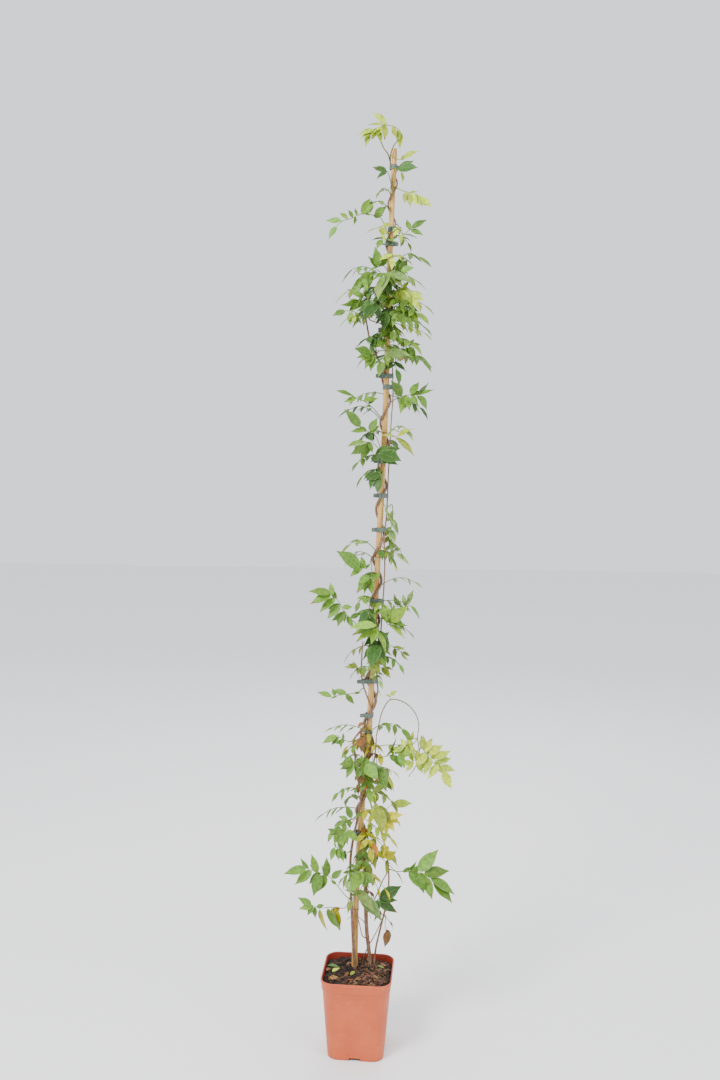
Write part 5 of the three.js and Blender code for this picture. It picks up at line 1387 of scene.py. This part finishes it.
# Half the width of a blade along its length: a short stalk, a rounded foot and a drawn-out tip
def blade_half_width(u, wide):
    if u < BLADE_FOOT:
        return BLADE_STALK_RADIUS
    share = (u - BLADE_FOOT) / (1 - BLADE_FOOT)
    swell = math.sin(math.pi * share ** BLADE_WIDEST_POWER) ** BLADE_ROUNDNESS
    drawn = 1 - BLADE_DRAWN * smooth(BLADE_TIP_START, 1, share)
    return max(0.5 * wide * swell * drawn, BLADE_STALK_RADIUS)


# A closed blade with an upper and a lower face, coloured and bent a little differently each time
def add_blade(shape, root, pose, size, shown, random, detail, tone):
    along, face, stretch = pose
    across = face.cross(along)
    long = size * stretch * BLADE_LONGER
    wide = long * clamp(shown, BLADE_WIDTH, WIDEST_BLADE) * BLADE_WIDER
    droop = (BLADE_DROOP[0] + BLADE_DROOP[1] * next(random)) * long
    is_dry = tone in (COLOURS["brown"], COLOURS["orange"])
    wave = (DRY_WAVE if is_dry else FRESH_WAVE) * wide
    curl = (DRY_CURL if is_dry else FRESH_CURL * next(detail)) * long
    sickle = BLADE_SICKLE * (next(detail) - 0.5) * long
    phases = (math.tau * next(detail), math.tau * next(detail))
    bright = BLADE_BRIGHTNESS[0] + BLADE_BRIGHTNESS[1] * next(detail)
    warm = BLADE_WARMTH[0] * (next(detail) - BLADE_WARMTH[1])
    dryness = next(detail) ** 3
    own = (tone[0] * bright * (1 + warm), tone[1] * bright, tone[2] * bright * (1 - warm))

    def place(u, s, below):
        half = blade_half_width(u, wide)
        lift = BLADE_FOLD * half * abs(s) ** BLADE_FOLD_POWER
        if u > BLADE_FOOT:
            lift += wave * s * s * (half / wide) * 2 * math.sin(BLADE_RIPPLES * u + phases[s > 0])
        lift -= droop * u * u + curl * smooth(BLADE_TIP_START, 1, u) ** 2
        if below:
            lift -= BLADE_THICKNESS + BLADE_RIB * (1 - u) * (1 - abs(s)) ** BLADE_RIB_POWER
        if u < BLADE_FOOT:
            lift += (-0.5 if below else 0.5) * BLADE_STALK_RADIUS * (1 - abs(s))
        return root + along * (u * long) + across * (sickle * u * u + s * half) + face * lift

    def tint(u, s, below):
        dry = smooth(DRY_TIP_START, 1, u + DRY_TIP_REACH * dryness) if dryness > DRY_TIP_CHANCE else 0
        # Paler underside; the paler rim on the upper face is partly a real pale margin, partly painted sheen
        pale = UNDERSIDE_PALENESS if below else RIM_PALENESS_AND_SHEEN * smooth(RIM_SHEEN_START, 1, abs(s))
        return blend(blend(own, COLOURS["brown"], dry), COLOURS["pale"], pale)

    def corner(u, s, below):
        return shape.add(place(u, s, below), tint(u, s, below), (0.5 + s / 2, u))

    columns = [j / BLADE_HALF_COLUMNS for j in range(-BLADE_HALF_COLUMNS, BLADE_HALF_COLUMNS + 1)]
    steps = [(i / BLADE_ROWS) ** BLADE_ROW_POWER for i in range(BLADE_ROWS + 1)]
    base = shape.add(root - along * BLADE_ROOT, own, (0.5, 0))
    tip = shape.add(place(1, 0, False) - face * (BLADE_THICKNESS / 2), own, (0.5, 1))
    tops, bottoms = [], []
    for u in [*BLADE_STALK_ROWS, *(lerp(BLADE_FOOT, BLADE_LAST_ROW, step) for step in steps)]:
        top = [corner(u, s, False) for s in columns]
        tops.append(top)
        bottoms.append([top[0], *(corner(u, s, True) for s in columns[1:-1]), top[-1]])
    for j in range(len(columns) - 1):
        shape.faces.append((base, tops[0][j + 1], tops[0][j]))
        shape.faces.append((base, bottoms[0][j], bottoms[0][j + 1]))
        shape.faces.append((tip, tops[-1][j], tops[-1][j + 1]))
        shape.faces.append((tip, bottoms[-1][j + 1], bottoms[-1][j]))
        for i in range(len(tops) - 1):
            shape.faces.append((tops[i][j], tops[i][j + 1], tops[i + 1][j + 1], tops[i + 1][j]))
            shape.faces.append((bottoms[i][j], bottoms[i + 1][j], bottoms[i + 1][j + 1], bottoms[i][j + 1]))


# A stalk that tapers to its tip, and may be thicker at its foot
def add_stalk(shape, places, tone, foot_swell=0):
    last = len(places) - 1
    radii = []
    for i in range(last + 1):
        swell = foot_swell * (1 - smooth(0, STALK["foot_share"], i / last))
        radii.append(lerp(STALK["radius"], STALK["tip_radius"], i / last) + swell)
    add_tube(shape, places, radii, STALK["sides"], [blend(tone, STALK_TONE, STALK_SHARE)] * (last + 1))


# A leaf's stalk runs from its bud through the places of its way
def add_leaf(shape, foot, end, way, blades, random, detail, tone, odd_tints):
    curve = Curve([end] + way)
    way_start = round(CURVE_STEPS / len(way)) if len(way) > 1 else 0
    first_share = curve.lengths[way_start] / curve.lengths[-1]
    places = curve.spaced(max(LEAST_STALK_STEPS[0], round(curve.lengths[-1] / STALK["step"])))
    if foot:
        places.insert(0, foot)
    add_stalk(shape, places, tone, STALK["foot_swell"])
    for number, blade in enumerate(blades):
        place_on_way, _, size, shown = blade[:4]
        share = lerp(first_share, 1, place_on_way)
        root = curve.at(share)
        pose = blade_pose(blade, curve.tangent_at(share), random)
        own_tone = COLOURS[odd_tints[number]] if number in odd_tints else tone
        add_blade(shape, root, pose, size, shown, random, detail, own_tone)
        if size > WIDE_BLADE_LENGTH and shown >= WIDE_BLADE:
            add_neighbour(shape, root, pose, size, detail, own_tone)


# A narrower blade a little behind a wide one, turned to one side of it
def add_neighbour(shape, root, pose, size, detail, tone):
    along, face, stretch = pose
    side = 1 if next(detail) > 0.5 else -1
    turned = Matrix.Rotation(side * math.radians(lerp(*NEIGHBOUR_TURN, next(detail))), 3, face) @ along
    tilt = math.radians(lerp(-NEIGHBOUR_TILT, NEIGHBOUR_TILT, next(detail)))
    tilted = Matrix.Rotation(tilt, 3, turned) @ face
    beside = root - along * NEIGHBOUR_BACK - face * NEIGHBOUR_DEPTH
    size *= NEIGHBOUR_SIZE
    add_blade(shape, beside, (turned, tilted, stretch), size, BLADE_WIDTH, detail, detail, tone)


BUDS_PLACED = []


# Where a leaf's stalk leaves its stem, as in the solid
def bud_beside(stem_name, near):
    places, radii = ROUTES[stem_name]
    best = None
    for step in range(2, 2 * (len(places) - 1)):
        low = step // 2
        place = places[low].lerp(places[low + 1], 0.5 * (step % 2))
        middle = cane_at(place.z)
        outward = Vector((place.x - middle.x, place.y - middle.y, 0)).normalized()
        wanted = Vector((near.x - middle.x, near.y - middle.y, 0)).normalized()
        away = (near - place).length + BUD["wrong_side"] * (1 - outward.dot(wanted))
        taken = any((other - place).length < BUD["spacing"] for other in BUDS_PLACED)
        tied = any(abs(tie["z"] - place.z) < TIE_HEIGHT / 2 + BUD["clear_of_tie"] for tie in TIES)
        if not taken and not tied and (best is None or away < best[0]):
            forward = ((near - place).normalized() * BUD["turn"] + outward).normalized()
            best = (away, place, place + forward * (radii[low] + BUD["length"]))
    BUDS_PLACED.append(best[1])
    return best[1], best[2]


def nearest_on_shoots(shoots, near):
    places = [place for name in shoots for place in ROUTES[name][0][1:]]
    return min(places, key=lambda place: (place - near).length)


# A further leaf of pairs of leaflets, growing out from the winding stem and hanging over at its tip
def add_more_leaf(shape, z, azimuth, reach, rise, pairs, size, tone, detail):
    outward = heading(math.radians(azimuth))
    start = at_height(ROUTES["vine"][0], z)
    points = [start]
    for share, part in zip(MORE_SHARES, MORE_RISES):
        points.append(start + outward * (share * reach) + UP * (part * rise + MORE_ARCH))
    points.append(start + outward * reach + UP * (rise - MORE_END_DROP))
    curve = Curve(points)
    count = max(LEAST_STALK_STEPS[1], round(curve.lengths[-1] / STALK["step"]))
    add_stalk(shape, curve.spaced(count), tone)
    for pair in range(pairs + 1 if pairs else 0):
        is_end = pair == pairs
        share = lerp(MORE_FIRST, 1, pair / pairs)
        along_stalk = curve.tangent_at(share)
        side = along_stalk.cross(UP).normalized()
        for turned in ((0,) if is_end else (-1, 1)):
            spread = math.radians(lerp(*MORE_SPREAD, next(detail)))
            way = along_stalk * (math.cos(spread) if turned else 1) + side * (turned * math.sin(spread))
            way = (way - UP * lerp(*MORE_DROOP, next(detail))).normalized()
            face = UP + outward * MORE_OUTWARD + side * lerp(-MORE_TURN, MORE_TURN, next(detail))
            face = (face - way * face.dot(way)).normalized()
            own_size = size * lerp(*MORE_SIZE, next(detail)) * (MORE_END_SIZE if is_end else 1)
            add_blade(shape, curve.at(share), (way, face, 1), own_size, BLADE_WIDTH, detail, detail, tone)


# One piece of foliage: the young shoots that it holds, its leaves, and the smaller leaves beside them
def make_leaves(material, index, name, tint, leaves, stem=None, shoots=()):
    random = seeded(SEEDS["blades"] + index)
    detail = seeded(SEEDS["blade_details"] + index)
    shape = Shape()
    ways = [[Vector(p) for p in leaf["way"]] for leaf in leaves]
    near = sum((way[0] for way in ways), Vector()) / len(ways)
    foot, end = bud_beside(stem, near) if stem else (None, None)
    for shoot in shoots:
        add_stem(shape, shoot, SHOOT_TONE)
    for leaf, way in zip(leaves, ways):
        tone = COLOURS[leaf.get("tint", tint)]
        start = end if stem else nearest_on_shoots(shoots, way[0])
        add_leaf(shape, foot, start, way, leaf["blades"], random, detail, tone, leaf.get("odd_tints", {}))
    for *facts, more_tint in MORE_LEAVES.get(name, ()):
        add_more_leaf(shape, *facts, COLOURS[more_tint], detail)
    shape.make(name + "_fine", material, [name])


# Fallen leaves lying on the soil
def make_fallen_leaves(material):
    shape = Shape()
    random = seeded(SEEDS["fallen"])
    detail = seeded(SEEDS["fallen_details"])
    for x, y, turn, size, tint in FALLEN_LEAVES:
        angle = math.radians(turn)
        along = Vector((math.cos(angle), math.sin(angle), FALLEN_RISE)).normalized()
        face = (UP - along * UP.dot(along)).normalized()
        root = on_soil(x, y) + Vector((0, 0, FALLEN_LIFT))
        add_blade(shape, root, (along, face, 1), size, FALLEN_WIDTH, random, detail, COLOURS[tint])
    piece = shape.make("fallen_leaves", material)
    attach(piece, BODY)


# Materials. The scale of speckles and cells is how many come to a metre, and bumps are in metres.
# between() is given the range that it reads, then the range that it gives.
class Look:
    def __init__(self, name, roughness):
        self.material = bpy.data.materials.new(name)
        self.material.use_nodes = True
        self.tree = self.material.node_tree
        self.shader = self.tree.nodes["Principled BSDF"]
        self.shader.inputs["Roughness"].default_value = roughness
        self.place = self.add("ShaderNodeTexCoord").outputs["Object"]

    def add(self, kind, links=(), **settings):
        node = self.tree.nodes.new(kind)
        for key, value in settings.items():
            setattr(node, key, value)
        for socket, value in dict(links).items():
            self.join(value, node.inputs[socket])
        return node

    def join(self, value, socket):
        if isinstance(value, bpy.types.NodeSocket):
            self.tree.links.new(value, socket)
        else:
            socket.default_value = value

    def stretched(self, scale):
        return self.add("ShaderNodeMapping", {0: self.place, 3: scale}).outputs[0]

    def speckle(self, scale, detail=3.0, place=None):
        links = {"Vector": place or self.place, "Scale": scale, "Detail": detail}
        return self.add("ShaderNodeTexNoise", links).outputs[0]

    def cells(self, scale, place=None):
        links = {"Vector": place or self.place, "Scale": scale}
        return self.add("ShaderNodeTexVoronoi", links).outputs["Distance"]

    def math(self, operation, first, second=0.0):
        return self.add("ShaderNodeMath", {0: first, 1: second}, operation=operation).outputs[0]

    def between(self, value, low, high, start=0.0, end=1.0):
        links = {"Value": value, "From Min": low, "From Max": high, "To Min": start, "To Max": end}
        return self.add("ShaderNodeMapRange", links, interpolation_type="SMOOTHSTEP").outputs[0]

    def mix(self, share, first, second, mode="MIX"):
        node = self.add("ShaderNodeMix", data_type="RGBA", blend_type=mode)
        for socket, value in ((0, share), (6, first), (7, second)):
            if isinstance(value, tuple):
                value = (*value, 1)
            self.join(value, node.inputs[socket])
        return node.outputs[2]

    def tone(self):
        return self.add("ShaderNodeAttribute", attribute_name="Tone").outputs["Color"]

    def tone_part(self, channel):
        return self.add("ShaderNodeSeparateColor", {0: self.tone()}).outputs[channel]

    def shaded(self, colour, shade):
        grey = self.add("ShaderNodeCombineXYZ", {0: shade, 1: shade, 2: shade}).outputs[0]
        return self.mix(1, colour, grey, "MULTIPLY")

    def colour(self, value):
        self.join(value, self.shader.inputs["Base Color"])

    def bump(self, height, strength, distance):
        links = {"Height": height, "Strength": strength, "Distance": distance}
        self.join(self.add("ShaderNodeBump", links).outputs[0], self.shader.inputs["Normal"])


def leaf_look():
    look = Look("Silky leaf", 0.5)
    place = look.add("ShaderNodeUVMap", uv_map="Blade").outputs[0]
    split = look.add("ShaderNodeSeparateXYZ", {0: place})
    across = look.math("ABSOLUTE", look.math("SUBTRACT", split.outputs[0], 0.5))
    rib = look.between(across, *RIB_EDGES, 1, 0)
    slanted = look.math("SUBTRACT", split.outputs[1], look.math("MULTIPLY", across, VEIN_SLANT))
    repeat = look.math("FRACT", look.math("MULTIPLY", slanted, VEIN_COUNT))
    vein = look.between(look.math("ABSOLUTE", look.math("SUBTRACT", repeat, 0.5)), *VEIN_EDGES, 1, 0)
    veins = look.math("MAXIMUM", rib, look.math("MULTIPLY", vein, VEIN_STRENGTH))
    mottle = look.between(look.speckle(130, 4), 0.3, 0.7, 0.72, 1.2)
    base = look.shaded(look.tone(), mottle)
    light = look.mix(1, base, VEIN_LIGHT, "ADD")
    look.colour(look.mix(look.math("MULTIPLY", veins, 0.75), base, light))
    hairs = look.math("MULTIPLY", look.speckle(900, 2), 0.3)
    look.bump(look.math("SUBTRACT", hairs, look.math("MULTIPLY", veins, 0.5)), 0.45, 0.0006)
    look.shader.inputs["Specular IOR Level"].default_value = 0.3
    return look.material


def bark_look():
    look = Look("Bark", 0.75)
    grain = look.speckle(1, 4, look.stretched((420, 420, 90)))
    patches = look.speckle(45, 3)
    brown = look.mix(look.between(grain, 0.35, 0.65), BARK_BROWN, BARK_GREY)
    spotted = look.mix(look.between(patches, 0.5, 0.68, 0, 0.8), brown, BARK_RED)
    dots = look.between(look.cells(260), 0.12, 0.22, 0.6, 0)
    look.colour(look.mix(dots, spotted, BARK_PALE))
    look.bump(look.math("ADD", grain, look.math("MULTIPLY", dots, 0.6)), 0.7, 0.0009)
    return look.material


def bamboo_look():
    look = Look("Bamboo", 0.42)
    streaks = look.speckle(1, 5, look.stretched((260, 260, 5)))
    fine = look.speckle(1, 3, look.stretched((900, 900, 24)))
    stains = look.speckle(1, 4, look.stretched((40, 40, 11)))
    tan = look.mix(look.between(streaks, 0.35, 0.7), BAMBOO_PALE, BAMBOO_TAN)
    stained = look.mix(look.between(stains, 0.5, 0.72, 0, 0.75), tan, BAMBOO_ORANGE)
    lined = look.mix(look.between(fine, 0.58, 0.72, 0, 0.4), stained, BAMBOO_DARK)
    ring = look.math("MULTIPLY", look.tone_part(0), 0.85)
    look.colour(look.mix(ring, lined, BAMBOO_DARK))
    look.bump(look.math("ADD", look.math("MULTIPLY", streaks, 0.5), fine), 0.35, 0.0006)
    return look.material


def tape_look():
    look = Look("Tie tape", 0.4)
    cloudy = look.speckle(160, 3)
    ribs = look.speckle(1, 2, look.stretched((300, 300, 2400)))
    look.colour(look.mix(look.between(cloudy, 0.3, 0.7), TAPE_DARK, TAPE_LIGHT))
    look.bump(look.math("ADD", ribs, cloudy), 0.35, 0.0005)
    return look.material


def terracotta_look():
    look = Look("Terracotta plastic", 0.5)
    clouds = look.speckle(16, 4)
    grains = look.speckle(1200, 2)
    dust = look.speckle(60, 5)
    body = look.mix(look.between(clouds, 0.3, 0.7), POT_DEEP, POT_LIGHT)
    dusty = look.mix(look.between(dust, 0.56, 0.75, 0, 0.35), body, POT_DUST)
    flecks = look.between(look.cells(330), 0.05, 0.09, 0.5, 0)
    flecked = look.mix(flecks, dusty, POT_FLECK)
    # Painted shade: the inside wall, marked by the tone's first part, is coloured darker
    look.colour(look.mix(look.tone_part(0), flecked, POT_INSIDE_PAINTED_SHADE))
    look.bump(look.math("ADD", grains, look.math("MULTIPLY", clouds, 0.8)), 0.25, 0.0005)
    return look.material


def soil_look():
    look = Look("Potting soil", 0.95)
    grit = look.speckle(700, 4)
    fibre = look.speckle(1, 4, look.stretched((500, 120, 500)))
    coarse = look.shaded(look.tone(), look.between(grit, 0.3, 0.75, 0.45, 1.6))
    look.colour(look.mix(look.between(fibre, 0.6, 0.75, 0, 0.3), coarse, CHIP_TONES[0]))
    look.bump(look.math("ADD", grit, fibre), 0.8, 0.0015)
    return look.material


def floor_look():
    look = Look("Pale floor", 0.8)
    look.shader.inputs["Base Color"].default_value = (*FLOOR_TONE, 1)
    return look.material


def make_floor():
    shape = Shape()
    shape.faces.append(tuple(shape.add(Vector((x, y, 0)) * FLOOR_HALF) for x, y in SQUARE))
    floor = shape.make("floor", floor_look())


def add_light(name, place, aim, size, power):
    data = bpy.data.lights.new(name, "AREA")
    data.shape = "DISK"
    data.size = size
    data.energy = power
    light = bpy.data.objects.new(name, data)
    light.location = place
    light.rotation_euler = (Vector(aim) - Vector(place)).to_track_quat("-Z", "Y").to_euler()
    bpy.context.scene.collection.objects.link(light)


def make_studio():
    make_floor()
    world = bpy.data.worlds.new("Studio")
    world.use_nodes = True
    background = world.node_tree.nodes["Background"]
    background.inputs["Color"].default_value = (*WORLD_TONE, 1)
    background.inputs["Strength"].default_value = WORLD_STRENGTH
    bpy.context.scene.world = world
    for light in LIGHTS:
        add_light(*light)


def make_camera():
    data = bpy.data.cameras.new("Camera")
    data.lens = CAMERA_LENS
    data.sensor_fit = "VERTICAL"
    data.sensor_height = CAMERA_SENSOR
    camera = bpy.data.objects.new("Camera", data)
    rolled = Matrix.Rotation(math.radians(CAMERA_ROLL), 4, "Z")
    pitched = Matrix.Rotation(math.radians(CAMERA_PITCH), 4, "X")
    camera.matrix_world = Matrix.Translation(CAMERA_PLACE) @ pitched @ rolled
    bpy.context.scene.collection.objects.link(camera)
    bpy.context.scene.camera = camera


leaf_material = leaf_look()
make_pot(terracotta_look())
make_soil(soil_look())
make_cane(bamboo_look())
make_stems(bark_look())
tape_material = tape_look()
for number, tie in enumerate(TIES):
    make_tie(tape_material, number, **tie)
for number, leaf_group in enumerate(LEAVES):
    make_leaves(leaf_material, number, **leaf_group)
make_fallen_leaves(leaf_material)
make_studio()
make_camera()
